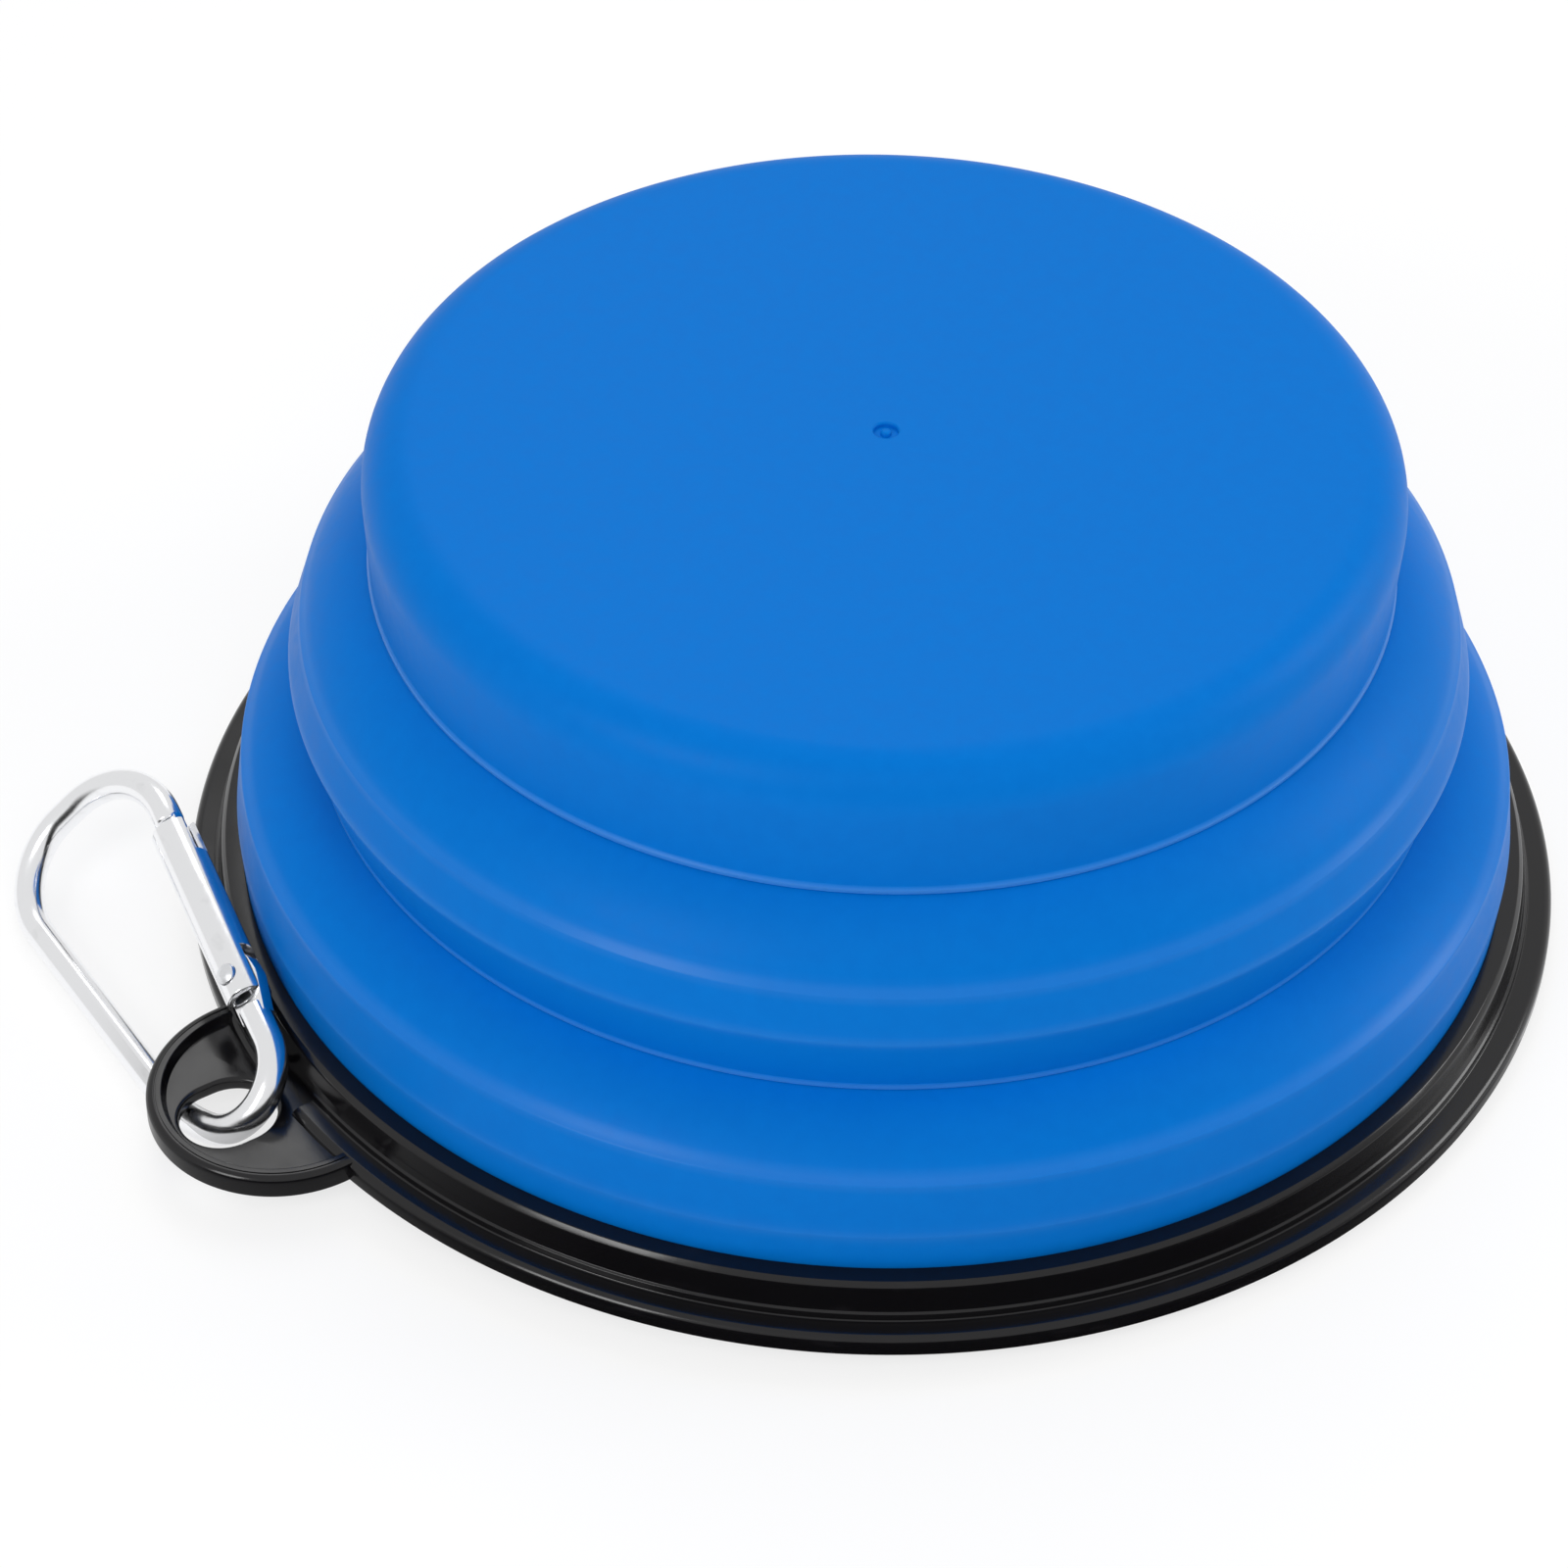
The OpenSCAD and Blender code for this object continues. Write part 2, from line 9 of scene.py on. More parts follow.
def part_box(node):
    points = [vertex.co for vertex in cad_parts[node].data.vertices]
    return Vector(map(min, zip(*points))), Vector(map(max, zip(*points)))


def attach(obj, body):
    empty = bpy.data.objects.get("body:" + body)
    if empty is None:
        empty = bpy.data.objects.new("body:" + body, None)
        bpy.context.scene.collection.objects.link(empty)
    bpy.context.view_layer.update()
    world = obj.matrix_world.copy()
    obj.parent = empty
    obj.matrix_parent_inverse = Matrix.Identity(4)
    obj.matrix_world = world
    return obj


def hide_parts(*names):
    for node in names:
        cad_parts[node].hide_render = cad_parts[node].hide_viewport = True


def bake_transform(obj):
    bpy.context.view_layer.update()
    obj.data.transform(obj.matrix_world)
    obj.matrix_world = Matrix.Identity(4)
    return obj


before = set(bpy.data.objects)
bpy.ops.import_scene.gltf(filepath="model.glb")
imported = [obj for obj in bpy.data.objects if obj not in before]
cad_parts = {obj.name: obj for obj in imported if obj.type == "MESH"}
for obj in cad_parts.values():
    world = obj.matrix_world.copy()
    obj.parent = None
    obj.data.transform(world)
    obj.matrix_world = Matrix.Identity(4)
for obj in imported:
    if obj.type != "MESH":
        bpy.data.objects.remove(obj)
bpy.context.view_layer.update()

bl_info = {
    "name": "Collapsible Bowl",
    "version": (1, 0, 0),
    "blender": (4, 5, 0),
    "location": "View3D > Sidebar > Bowl",
    "description": "Builds a collapsible silicone bowl with its rim ring, hang tab and carabiner",
    "category": "Object",
}

MM = 0.001
# Heights are taken from the rim's lower face, which lies at this height in the frame
RIM_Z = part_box("rim_ring")[0][2]
# Points nearer than this are one, and more so after a boolean
WELD = 0.001 * MM
CUT_WELD = 0.002 * MM
# How far a cutter stands out of what it cuts
OVERRUN = 1 * MM
# Height of the tab's border over the ring's lower face, half its plate's, so that no faces coincide
LIFT = 0.015 * MM
# Longest stretch between two points of a plain wall, and of a wall that folds
WALL_STEP = 4 * MM
FOLD_STEP = 1 * MM


# Settings

def length(name, description, default):
    """A length that the user can change, its default in millimetres"""
    return FloatProperty(name=name, description=description, default=default * MM,
                         unit="LENGTH", subtype="DISTANCE")


def angle_setting(name, description, default):
    """An angle that the user can change"""
    return FloatProperty(name=name, description=description, default=default,
                         unit="ROTATION", subtype="ANGLE")


def share_setting(name, description, default):
    """A share that the user can change"""
    return FloatProperty(name=name, description=description, default=default, min=0, max=1, subtype="FACTOR")


def color_setting(name, description, default):
    """A colour that the user can change"""
    return FloatVectorProperty(name=name, description=description, default=default, subtype="COLOR",
                               size=4, min=0, max=1)


class ShellSettings(bpy.types.PropertyGroup):
    """Sizes and colours of the silicone shell"""

    wall: length("Wall", "Wall of the silicone, measured level", 2)
    mark: length("Mark", "Radius of the small round mark in the middle of the base", 1.9)
    web: length("Web", "Wall of the two folds, measured level", 0.9)
    web_ease: length("Web Ease", "Height over which the wall thins into a fold", 2)
    floor: length("Floor", "Thickness of the base", 2.5)
    base_radius: length("Base Radius", "Radius of the base cup at its edge", 65)
    base_round: length("Base Rounding", "Rounding of the base's edge", 6.5)
    upper_crease: length("Upper Crease", "Radius of the crease under the base cup", 64.5)
    upper_shoulder: length("Upper Shoulder", "Radius where the upper shoulder ends", 73.4)
    upper_shoulder_height: length("Upper Shoulder Height", "Height of that place", 43.4)
    upper_edge: length("Upper Fold Edge", "Radius of the upper fold edge", 75.4)
    lower_crease: length("Lower Crease", "Radius of the crease under the middle band", 72.2)
    lower_shoulder: length("Lower Shoulder", "Radius where the lower shoulder ends", 82.1)
    lower_shoulder_height: length("Lower Shoulder Height", "Height of that place", 21.1)
    lower_edge: length("Lower Fold Edge", "Radius of the lower fold edge", 83.3)
    fold_round: length("Fold Rounding", "Rounding of the two fold edges", 0.9)
    collar: length("Collar Radius", "Radius at which the shell enters the rim ring", 82.9)
    bead: length("Bead", "How far the clamped bead stands out", 2.3)
    bead_height: length("Bead Height", "Height of the clamped bead", 1.8)
    upper_ridge: length("Upper Ridge", "Size of the raised ridge at the upper crease", 0.38)
    lower_ridge: length("Lower Ridge", "Size of the raised ridge at the lower crease", 0.36)
    shoulder_swell: length("Shoulder Swell", "How far the edge under a shoulder swells", 0.28)
    swell_round: length("Swell Rounding", "Rounding of that swollen edge", 0.5)
    # These settings place a painted highlight: a paler tint, under a glossier coat, along the ridges, the
    # shoulders' feet and the fold edges
    highlight_rise: length("Highlight Rise", "Height of the rubbed line over a shoulder's foot", 0.4)
    highlight_reach: length("Highlight Reach", "How far a rubbed edge's paler line spreads up and down", 1.4)
    foot_highlight: share_setting("Shoulder Highlight", "How rubbed the shoulders' feet are", 0.28)
    edge_highlight: share_setting("Edge Highlight", "How rubbed the fold edges are", 0.22)
    highlight_shine: share_setting("Highlight Shine", "How shiny the rubbed silicone is", 0.9)
    segments: IntProperty(name="Segments", description="Segments around the bowl", default=288)
    color: color_setting("Silicone", "Colour of the silicone", (0, 0.17, 0.625, 1))
    bloom: color_setting("Bloom", "Paler tint of the silicone's faint mottling", (0, 0.18, 0.645, 1))
    # Paler tint of the painted highlight on the ridges and on the shoulder and fold lines
    highlighted: color_setting("Highlighted", "Paler silicone on the ridges", (0.035, 0.225, 0.68, 1))


class RimSettings(bpy.types.PropertyGroup):
    """Sizes and colour of the rim ring and its tab"""

    radius: length("Radius", "Outside radius of the ring", 90)
    flange_width: length("Flange Width", "Width of the flat flange", 3.2)
    flange_height: length("Flange Height", "Height of the flange", 2.8)
    flange_round: length("Flange Rounding", "Rounding of the flange's upper outer edge", 1.2)
    foot_round: length("Foot Rounding", "Rounding of the ring's lower outer edge", 0.5)
    step_rise: length("Step Rise", "Height of the small step from the flange to the collar", 1.1)
    step_lean: length("Step Lean", "How far that step leans in", 0.4)
    step_ease: length("Step Ease", "Height of the sloping edge on top of that step", 0.2)
    collar_height: length("Collar Height", "Height of the collar's flat top", 7.9)
    collar_radius: length("Collar Edge", "Radius of the collar's upper edge", 85.1)
    collar_fall: length("Collar Fall", "How much lower the collar's edge is than its top", 0.1)
    collar_round: length("Collar Rounding", "Rounding of the collar's edge and of its foot", 0.25)
    lip: length("Lip", "Thickness of the inner lip under the silicone", 2.2)
    lip_reach: length("Lip Reach", "How far the lip stands in past the silicone", 0.4)
    bead_gap: length("Bead Gap", "Gap between the ring and the silicone in it", 0.1)
    tab_radius: length("Tab Radius", "Outside radius of the hang tab", 16.65)
    tab_reach: length("Tab Reach", "How far the tab stands out past the ring", 15.75)
    tab_plate: length("Tab Plate", "Thickness of the tab's plate", 1.95)
    tab_edge: length("Tab Edge", "Height of the tab's raised border", 3.15)
    border: length("Border", "Width of the border's flat top", 1.95)
    border_slope: length("Border Slope", "How far the border's inner side leans", 0.7)
    line_place: length("Line Place", "Distance of the border's fine line from the tab's edge", 1)
    line_width: length("Line Width", "Width of that line", 0.25)
    line_depth: length("Line Depth", "Depth of that line", 0.12)
    hole_length: length("Hole Length", "Length of the hole, away from the bowl", 12.5)
    hole_width: length("Hole Width", "Width of the hole", 10.8)
    hole_bar: length("Hole Bar", "Width of the bar between the hole and the tip", 3.15)
    hole_round: length("Hole Rounding", "Rounding of the hole's edges", 0.55)
    notch: length("Notch", "Width of the gap in the flange at the hole", 9.2)
    notch_round: length("Notch Rounding", "Rounding of that gap's inner corners", 1.1)
    notch_bite: length("Notch Bite", "How far the gap cuts into the collar", 0.7)
    notch_drop: length("Notch Drop", "Distance of the gap's upper end from the collar's flat top", 2.6)
    color: color_setting("Plastic", "Colour of the black plastic", (0.004, 0.0037, 0.0045, 1))


class ClipSettings(bpy.types.PropertyGroup):
    """Sizes and colours of the carabiner"""

    rod: length("Rod", "Diameter of the bent rod", 4)
    tilt: angle_setting("Tilt", "Angle at which the carabiner leans on the rim", radians(44.5))
    spine_place: length("Spine Place", "Distance of the spine from the bowl's axis", 99.7)
    spine_drop: length("Spine Drop", "Depth of the spine below the rim's face", 2.92)
    spine_length: length("Spine Length", "Height of the corner over the spine", 58.8)
    head_width: length("Head Width", "Width out to the corner over the gate", 26.5)
    head_fall: length("Head Fall", "How much lower the corner over the gate is", 5.3)
    spine_bend: length("Spine Bend", "Bend radius over the spine", 10)
    gate_bend: length("Gate Bend", "Bend radius over the gate", 11.8)
    hook_start: length("Hook Start", "Height at which the spine starts to bend in", 11.6)
    hook_bend: length("Hook Bend", "Radius of the long curve below the spine", 23.5)
    hook_angle: angle_setting("Hook Angle", "Angle of that long curve", radians(24.7))
    tip_bend: length("Tip Bend", "Radius of the hook through the tab", 7.1)
    gate: length("Gate", "Outside diameter of the gate", 5.9)
    gate_bore: length("Gate Bore", "Bore of the gate", 4)
    nose_gap: length("Nose Gap", "Gap between the gate and the rod above it", 1.05)
    nose_lead: length("Nose Lead", "Straight rod between that gap and the bend", 2.3)
    gate_tail: length("Gate Tail", "Length of the gate below its rivet", 3.4)
    tail_gap: length("Tail Gap", "Gap around the gate's tail as it swings", 0.3)
    rivet_height: length("Rivet Height", "Height of the rivet along the spine", 13)
    rivet: length("Rivet", "Diameter of the rivet's shank", 2)
    rivet_head: length("Rivet Head", "Diameter of the rivet's heads", 2.8)
    pin: length("Latch Pin", "Diameter of the pin across the gate's nose", 1)
    pin_gap: length("Latch Gap", "Gap around that pin in the rod's hooked end", 0.3)
    tang: length("Tang", "Thickness of the rod's flattened ends", 2)
    tang_gap: length("Tang Gap", "Gap on each side of a flattened end in the gate", 0.2)
    tang_bevel: length("Tang Bevel", "Bevel of the flattened ends' edges", 0.12)
    end_round: length("End Rounding", "Rounding of the rod's lower end", 0.3)
    shoulder_round: length("Shoulder Rounding", "Rounding of the rod's end over the gate", 0.6)
    color: color_setting("Aluminium", "Colour of the polished aluminium", (0.92, 0.925, 0.94, 1))
    pressed: color_setting("Rivet Colour", "Colour of the pressed rivet", (0.78, 0.79, 0.81, 1))
    steel: color_setting("Steel", "Colour of the pin, the spring and the plunger", (0.5, 0.5, 0.52, 1))


class StageSettings(bpy.types.PropertyGroup):
    """Camera, floor and light"""

    azimuth: angle_setting("Azimuth", "Heading of the view, from the X axis", radians(56.417))
    elevation: angle_setting("Elevation", "How steeply the camera looks down", radians(41.466))
    roll: angle_setting("Roll", "Turn of the camera about its view", radians(1.118))
    camera_place: FloatVectorProperty(name="Camera Place", description="Where the camera stands",
                                      subtype="TRANSLATION", unit="LENGTH", size=3,
                                      default=(-272.26 * MM, -388.82 * MM, 360.65 * MM))
    lens: FloatProperty(name="Lens", description="Focal length on a 36 mm sensor, in millimetres",
                        default=110.36)
    floor_color: color_setting("Floor", "Colour of the floor", (0.95, 0.95, 0.95, 1))
    world_strength: FloatProperty(name="Fill", description="Strength of the even fill light", default=0.45)
    floor_size: length("Floor Size", "Length and width of the floor", 6000)
    card_height: length("Card Height", "How far the dark card turns up at its end", 300)
    card_reach: length("Card Reach", "How far the dark card reaches from the bowl", 1000)
    card_heading: angle_setting("Card Heading", "Direction in which it lies", radians(-118))
    card_spread: angle_setting("Card Spread", "Its angle on each side of that", radians(85))
    floor_glow: share_setting("Floor Glow", "Share of the floor's white that no shadow dims", 0.7)


# Mesh helpers

def linked(name, bm):
    """Turn a bmesh into an object of the scene"""
    mesh = bpy.data.meshes.new(name)
    bm.to_mesh(mesh)
    bm.free()
    linked_object = bpy.data.objects.new(name, mesh)
    bpy.context.scene.collection.objects.link(linked_object)
    return linked_object


def finished(name, bm, body, replaced, material, sharp=30):
    """Turn a bmesh into a smooth-shaded piece that rides on a body, or on none"""
    piece = linked(name, bm)
    piece.data.shade_smooth()
    piece.data.set_sharp_from_angle(angle=radians(sharp))
    piece.data.materials.append(material)
    if body:
        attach(piece, body)
    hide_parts(*replaced)
    return piece


def smooth(share):
    """Ease a share between 0 and 1 in and out"""
    return share * share * (3 - 2 * share)


def arc(centre, radius, start, end, steps):
    """Points of an arc, angles in degrees"""
    angles = [radians(start + (end - start) * i / steps) for i in range(steps + 1)]
    return [(centre[0] + radius * cos(a), centre[1] + radius * sin(a)) for a in angles]


def rounded(corners, turn=9):
    """Outline whose corners (x, y, radius) are arcs, one point for each stretch of turn degrees"""
    points = []
    last = len(corners) - 1
    for i, (x, y, radius) in enumerate(corners):
        if radius == 0 or i in (0, last):
            points.append((x, y))
            continue
        here = Vector((x, y))
        back = (Vector(corners[i - 1][:2]) - here).normalized()
        ahead = (Vector(corners[i + 1][:2]) - here).normalized()
        half = acos(max(-1, min(1, back.dot(ahead)))) / 2
        start = here + back * radius / tan(half)
        centre = here + (back + ahead).normalized() * radius / sin(half)
        spread = pi - 2 * half
        spin = 1 if back.cross(ahead) < 0 else -1
        steps = max(2, ceil(degrees(spread) / turn))
        for step in range(steps + 1):
            offset = start - centre
            offset.rotate(Matrix.Rotation(spin * spread * step / steps, 2))
            points.append(tuple(centre + offset))
    return points


def divided(points, longest):
    """The same outline with no stretch longer than a length"""
    result = [points[0]]
    for a, b in zip(points, points[1:]):
        parts = max(1, ceil(hypot(b[0] - a[0], b[1] - a[1]) / longest))
        result += [(a[0] + (b[0] - a[0]) * i / parts, a[1] + (b[1] - a[1]) * i / parts)
                   for i in range(1, parts + 1)]
    return result


def spun(outline, segments, axis=(0, 0, 1)):
    """Closed outline of (radius, height) turned about an axis through the origin, from X on"""
    bm = bmesh.new()
    axis, across = Vector(axis), Vector((1, 0, 0))
    verts = [bm.verts.new(across * r + axis * z) for r, z in outline]
    edges = [bm.edges.new(pair) for pair in zip(verts, verts[1:] + verts[:1])]
    bmesh.ops.spin(bm, geom=verts + edges, cent=(0, 0, 0), axis=axis, dvec=(0, 0, 0), angle=2 * pi,
                   steps=segments, use_merge=True)
    bmesh.ops.remove_doubles(bm, verts=bm.verts, dist=WELD)
    bmesh.ops.dissolve_degenerate(bm, edges=bm.edges, dist=WELD)
    bmesh.ops.delete(bm, geom=[e for e in bm.edges if not e.link_faces], context="EDGES")
    bmesh.ops.recalc_face_normals(bm, faces=bm.faces)
    return bm


def of_type(geom, kind):
    """The vertices, edges or faces among a bmesh operator's results"""
    return [item for item in geom if isinstance(item, kind)]


def extruded(outline, low, high):
    """Closed outline of (x, y) raised from one height to another"""
    bm = bmesh.new()
    face = bm.faces.new([bm.verts.new((x, y, low)) for x, y in outline])
    region = bmesh.ops.extrude_face_region(bm, geom=[face])["geom"]
    bmesh.ops.translate(bm, verts=of_type(region, bmesh.types.BMVert), vec=(0, 0, high - low))
    bmesh.ops.recalc_face_normals(bm, faces=bm.faces)
    return bm


def combined(start, steps):
    """Bmesh of an object after booleans with others, given as (operation, object), all deleted afterwards"""
    for operation, other in steps:
        boolean = start.modifiers.new(other.name, "BOOLEAN")
        boolean.operation = operation
        boolean.solver = "MANIFOLD"
        boolean.object = other
    bpy.context.view_layer.update()
    evaluated = start.evaluated_get(bpy.context.evaluated_depsgraph_get())
    bm = bmesh.new()
    bm.from_mesh(evaluated.to_mesh())
    evaluated.to_mesh_clear()
    for helper in [start] + [other for _, other in steps]:
        mesh = helper.data
        bpy.data.objects.remove(helper)
        bpy.data.meshes.remove(mesh)
    bmesh.ops.remove_doubles(bm, verts=bm.verts, dist=CUT_WELD)
    bmesh.ops.dissolve_degenerate(bm, edges=bm.edges, dist=CUT_WELD)
    return bm


# Node helpers

def fed(node, *places, **labels):
    """Set or link a node's inputs, by their order or by their labels, with _ for each space"""
    inputs = list(zip(node.inputs, places))
    inputs += [(node.inputs[label.replace("_", " ")], value) for label, value in labels.items()]
    for socket, value in inputs:
        if isinstance(value, bpy.types.NodeSocket):
            node.id_data.links.new(value, socket)
        else:
            socket.default_value = value
    return node


def shader_node(nodes, kind, *places, operation=None, **labels):
    """Add a shader node and feed its inputs"""
    node = nodes.new(f"ShaderNode{kind}")
    if operation:
        node.operation = operation
    return fed(node, *places, **labels)


def placed_group(nodes, group, **values):
    """Place a node group in a material with its own values, and give its outputs"""
    node = nodes.new("ShaderNodeGroup")
    node.node_tree = group
    return fed(node, **values).outputs


def node_group(name, inlets, outlets):
    """New node group with its sockets, its inlets given with their values"""
    group = bpy.data.node_groups.new(name, "ShaderNodeTree")
    socket = group.interface.new_socket
    for label, value in inlets.items():
        socket(name=label, in_out="INPUT", socket_type="NodeSocketFloat").default_value = value
    for label in outlets:
        socket(name=label, in_out="OUTPUT", socket_type="NodeSocketFloat")
    nodes = group.nodes
    return group, nodes, nodes.new("NodeGroupInput").outputs, nodes.new("NodeGroupOutput")


def moulded_grain():
    """Node group: slow mottling and the fine grain of a moulded surface"""
    if "moulded_grain" in bpy.data.node_groups:
        return bpy.data.node_groups["moulded_grain"]
    group, nodes, inlets, outlet = node_group(
        "moulded_grain", {"Mottle Scale": 60, "Grain Scale": 1500}, ("Mottle", "Grain"))
    place = nodes.new("ShaderNodeTexCoord").outputs["Object"]
    mottle = shader_node(nodes, "TexNoise", Vector=place, Scale=inlets["Mottle Scale"], Detail=5,
                         Roughness=0.6)
    grain = shader_node(nodes, "TexNoise", Vector=place, Scale=inlets["Grain Scale"], Detail=2)
    spread = shader_node(nodes, "MapRange", Value=mottle.outputs["Fac"], From_Min=0.35, From_Max=0.7)
    fed(outlet, Mottle=spread.outputs["Result"], Grain=grain.outputs["Fac"])
    return group


def handling_marks():
    """Node group: thin random scuffs left by handling"""
    if "handling_marks" in bpy.data.node_groups:
        return bpy.data.node_groups["handling_marks"]
    group, nodes, inlets, outlet = node_group("handling_marks", {"Scale": 90, "Stretch": 14}, ("Marks",))
    place = nodes.new("ShaderNodeTexCoord").outputs["Object"]
    stretch = shader_node(nodes, "CombineXYZ", X=1, Y=1, Z=inlets["Stretch"]).outputs["Vector"]
    stretched = shader_node(nodes, "VectorMath", place, stretch, operation="MULTIPLY").outputs["Vector"]
    noise = shader_node(nodes, "TexNoise", Vector=stretched, Scale=inlets["Scale"], Detail=3)
    cut = shader_node(nodes, "MapRange", Value=noise.outputs["Fac"], From_Min=0.62, From_Max=0.72)
    fed(outlet, Marks=cut.outputs["Result"])
    return group


def mapped(nodes, source, low, high):
    """Spread a 0 to 1 value between two others"""
    return shader_node(nodes, "MapRange", Value=source, To_Min=low, To_Max=high).outputs["Result"]


def blended(nodes, factor, first, second):
    """Mix two colours by a mask"""
    mix = nodes.new("ShaderNodeMix")
    mix.data_type = "RGBA"
    return fed(mix, Factor=factor, A=first, B=second).outputs["Result"]


def bumped(nodes, height, strength, distance):
    """Normal of a surface with a fine relief"""
    return shader_node(nodes, "Bump", Height=height, Strength=strength, Distance=distance).outputs["Normal"]


def scaled(color, factor):
    """A colour times a factor"""
    return tuple(channel * factor for channel in color[:3]) + (1,)


# Materials

def shader_material(name):
    """New node material with its Principled shader"""
    material = bpy.data.materials.new(name)
    material.use_nodes = True
    nodes = material.node_tree.nodes
    return material, nodes, nodes["Principled BSDF"]


def silicone_material(settings):
    """Satin blue silicone with a faint, fine mottling; along the highlighted lines a painted highlight makes
    it paler, and a coat makes it shinier
    """
    if "blue_silicone" in bpy.data.materials:
        return bpy.data.materials["blue_silicone"]
    material, nodes, shader = shader_material("blue_silicone")
    grain = placed_group(nodes, moulded_grain(), Mottle_Scale=420, Grain_Scale=2200)
    highlight_mask = nodes.new("ShaderNodeAttribute")
    highlight_mask.attribute_name = "highlighted"
    mottled = blended(nodes, grain["Mottle"], settings.color, settings.bloom)
    shine = shader_node(nodes, "Math", highlight_mask.outputs["Fac"], settings.highlight_shine, operation="MULTIPLY")
    # Painted highlight: the base colour turns paler along the highlighted lines, and the coat makes them
    # shinier there
    fed(shader, Base_Color=blended(nodes, highlight_mask.outputs["Fac"], mottled, settings.highlighted),
        Roughness=mapped(nodes, grain["Mottle"], low=0.40, high=0.48), Specular_IOR_Level=0.065,
        Normal=bumped(nodes, grain["Grain"], strength=0.12, distance=0.05 * MM),
        Coat_Weight=shine.outputs["Value"], Coat_Roughness=0.3)
    return material


def black_plastic_material(settings):
    """Semi-gloss black plastic with fine moulding grain and a few scuffs"""
    if "black_plastic" in bpy.data.materials:
        return bpy.data.materials["black_plastic"]
    material, nodes, shader = shader_material("black_plastic")
    grain = placed_group(nodes, moulded_grain(), Mottle_Scale=140, Grain_Scale=3500)
    marks = placed_group(nodes, handling_marks(), Scale=120, Stretch=6)
    fed(shader, Base_Color=blended(nodes, marks["Marks"], settings.color, scaled(settings.color, 1.7)),
        Roughness=mapped(nodes, grain["Mottle"], low=0.13, high=0.21), Specular_IOR_Level=0.42,
        Normal=bumped(nodes, grain["Grain"], strength=0.06, distance=0.03 * MM))
    return material


def metal_material(name, color, low, high):
    """Bright metal with fine grain and light handling marks, its roughness between two values"""
    if name in bpy.data.materials:
        return bpy.data.materials[name]
    material, nodes, shader = shader_material(name)
    grain = placed_group(nodes, moulded_grain(), Mottle_Scale=260, Grain_Scale=2600)
    marks = placed_group(nodes, handling_marks(), Scale=260, Stretch=3)
    fed(shader, Base_Color=blended(nodes, marks["Marks"], color, scaled(color, 0.95)),
        Roughness=mapped(nodes, grain["Mottle"], low, high), Metallic=1,
        Normal=bumped(nodes, grain["Grain"], strength=0.06, distance=0.02 * MM))
    return material


def aluminium(clip):
    """Polished aluminium of the rod and the gate"""
    return metal_material("polished_aluminium", clip.color, low=0.13, high=0.22)


def drawn_steel(clip):
    """Plain steel of the pin, the spring and the plunger"""
    return metal_material("drawn_steel", clip.steel, low=0.2, high=0.34)


# Silicone shell

def raised(outline):
    """Outline with heights above the rim's lower face, moved into the frame"""
    return [(x, y + RIM_Z) for x, y in outline]


def shoulder(crease, foot, steps=14):
    """Convex curve from a crease out and down to where the wall starts"""
    reach, rise = foot[0] - crease[0], foot[1] - crease[1]
    pull = (crease[0] + 0.69 * reach, crease[1] + 0.37 * rise)
    shares = [i / steps for i in range(steps + 1)]
    return [tuple((1 - t) ** 2 * a + 2 * t * (1 - t) * p + t ** 2 * b
                  for a, p, b in zip(crease, pull, foot)) for t in shares]


def ridge(radius, height, lean, size):
    """Corners of the thin raised ridge at a crease, under the shallow groove in the wall over it"""
    return [(radius + 3 * size * lean - 0.25 * size, height + 3 * size, 0.9 * size),
            (radius + 0.75 * size, height + 1.7 * size, 0.55 * size),
            (radius + 0.7 * size, height + 0.35 * size, 0.55 * size),
            (radius, height, 0)]


def ridge_highlight(height, size):
    """The painted highlight line on a ridge, as highlighted() takes it"""
    return height + 1.1 * size, 2.2 * size, 1


def inner_line(outer, sizes, low, high):
    """The outer line moved in level by the wall, which thins where the fold rolls over"""
    line = []
    for r, z in reversed(outer):
        share = smooth(min(1, max(0, (z - low) / sizes.web_ease), max(0, (high - z) / sizes.web_ease)))
        line.append((r - sizes.wall + share * (sizes.wall - sizes.web), z))
    return line


def folded_lines(sizes, crease, foot, corners):
    """Outer line from a crease over its shoulder and round the corners below it, and the inner line"""
    outer = shoulder(crease, foot)
    edge_z = corners[0][1]
    corners = [outer[-2] + (0,), (foot[0] + sizes.shoulder_swell, foot[1], sizes.swell_round)] + corners
    outer = divided(outer[:-1] + rounded(corners)[1:], FOLD_STEP)
    return outer, inner_line(outer, sizes, edge_z - sizes.web_ease, crease[1])


def fold_highlights(sizes, foot_z, edge_z):
    """The faint painted highlight lines at a shoulder's foot and at a fold edge, as highlighted() takes them
    """
    return [(foot_z + sizes.highlight_rise, sizes.highlight_reach, sizes.foot_highlight),
            (edge_z, sizes.highlight_reach, sizes.edge_highlight)]


def highlighted(piece, lines):
    """Note how much painted highlight each outer vertex gets, from lines given as (height, reach, share)"""
    attribute = piece.data.attributes.new("highlighted", "FLOAT", "POINT")
    for vertex, mark in zip(piece.data.vertices, attribute.data):
        place, facing = vertex.co, vertex.normal
        if place.x * facing.x + place.y * facing.y > 0:
            mark.value = max(smooth(max(0, 1 - abs(place.z - height - RIM_Z) / reach)) * share
                             for height, reach, share in lines)


def mark_outline(mark, top):
    """Outline of the small round mark: a rounded pip, a ring groove round it and a faint raised ring"""
    pip, groove, swell = 0.22 * mark, 0.31 * mark, 0.01 * mark
    outline = [(0, top)] + arc((0.13 * mark, top - pip), pip, 90, 0, steps=6)
    outline += [(0.37 * mark, top - groove), (0.81 * mark, top - groove)]
    outline += arc((mark, top - 0.16 * mark), 0.19 * mark, 200, 110, steps=5)
    return outline + [(1.19 * mark, top + swell), (1.5 * mark, top + swell), (1.75 * mark, top)]


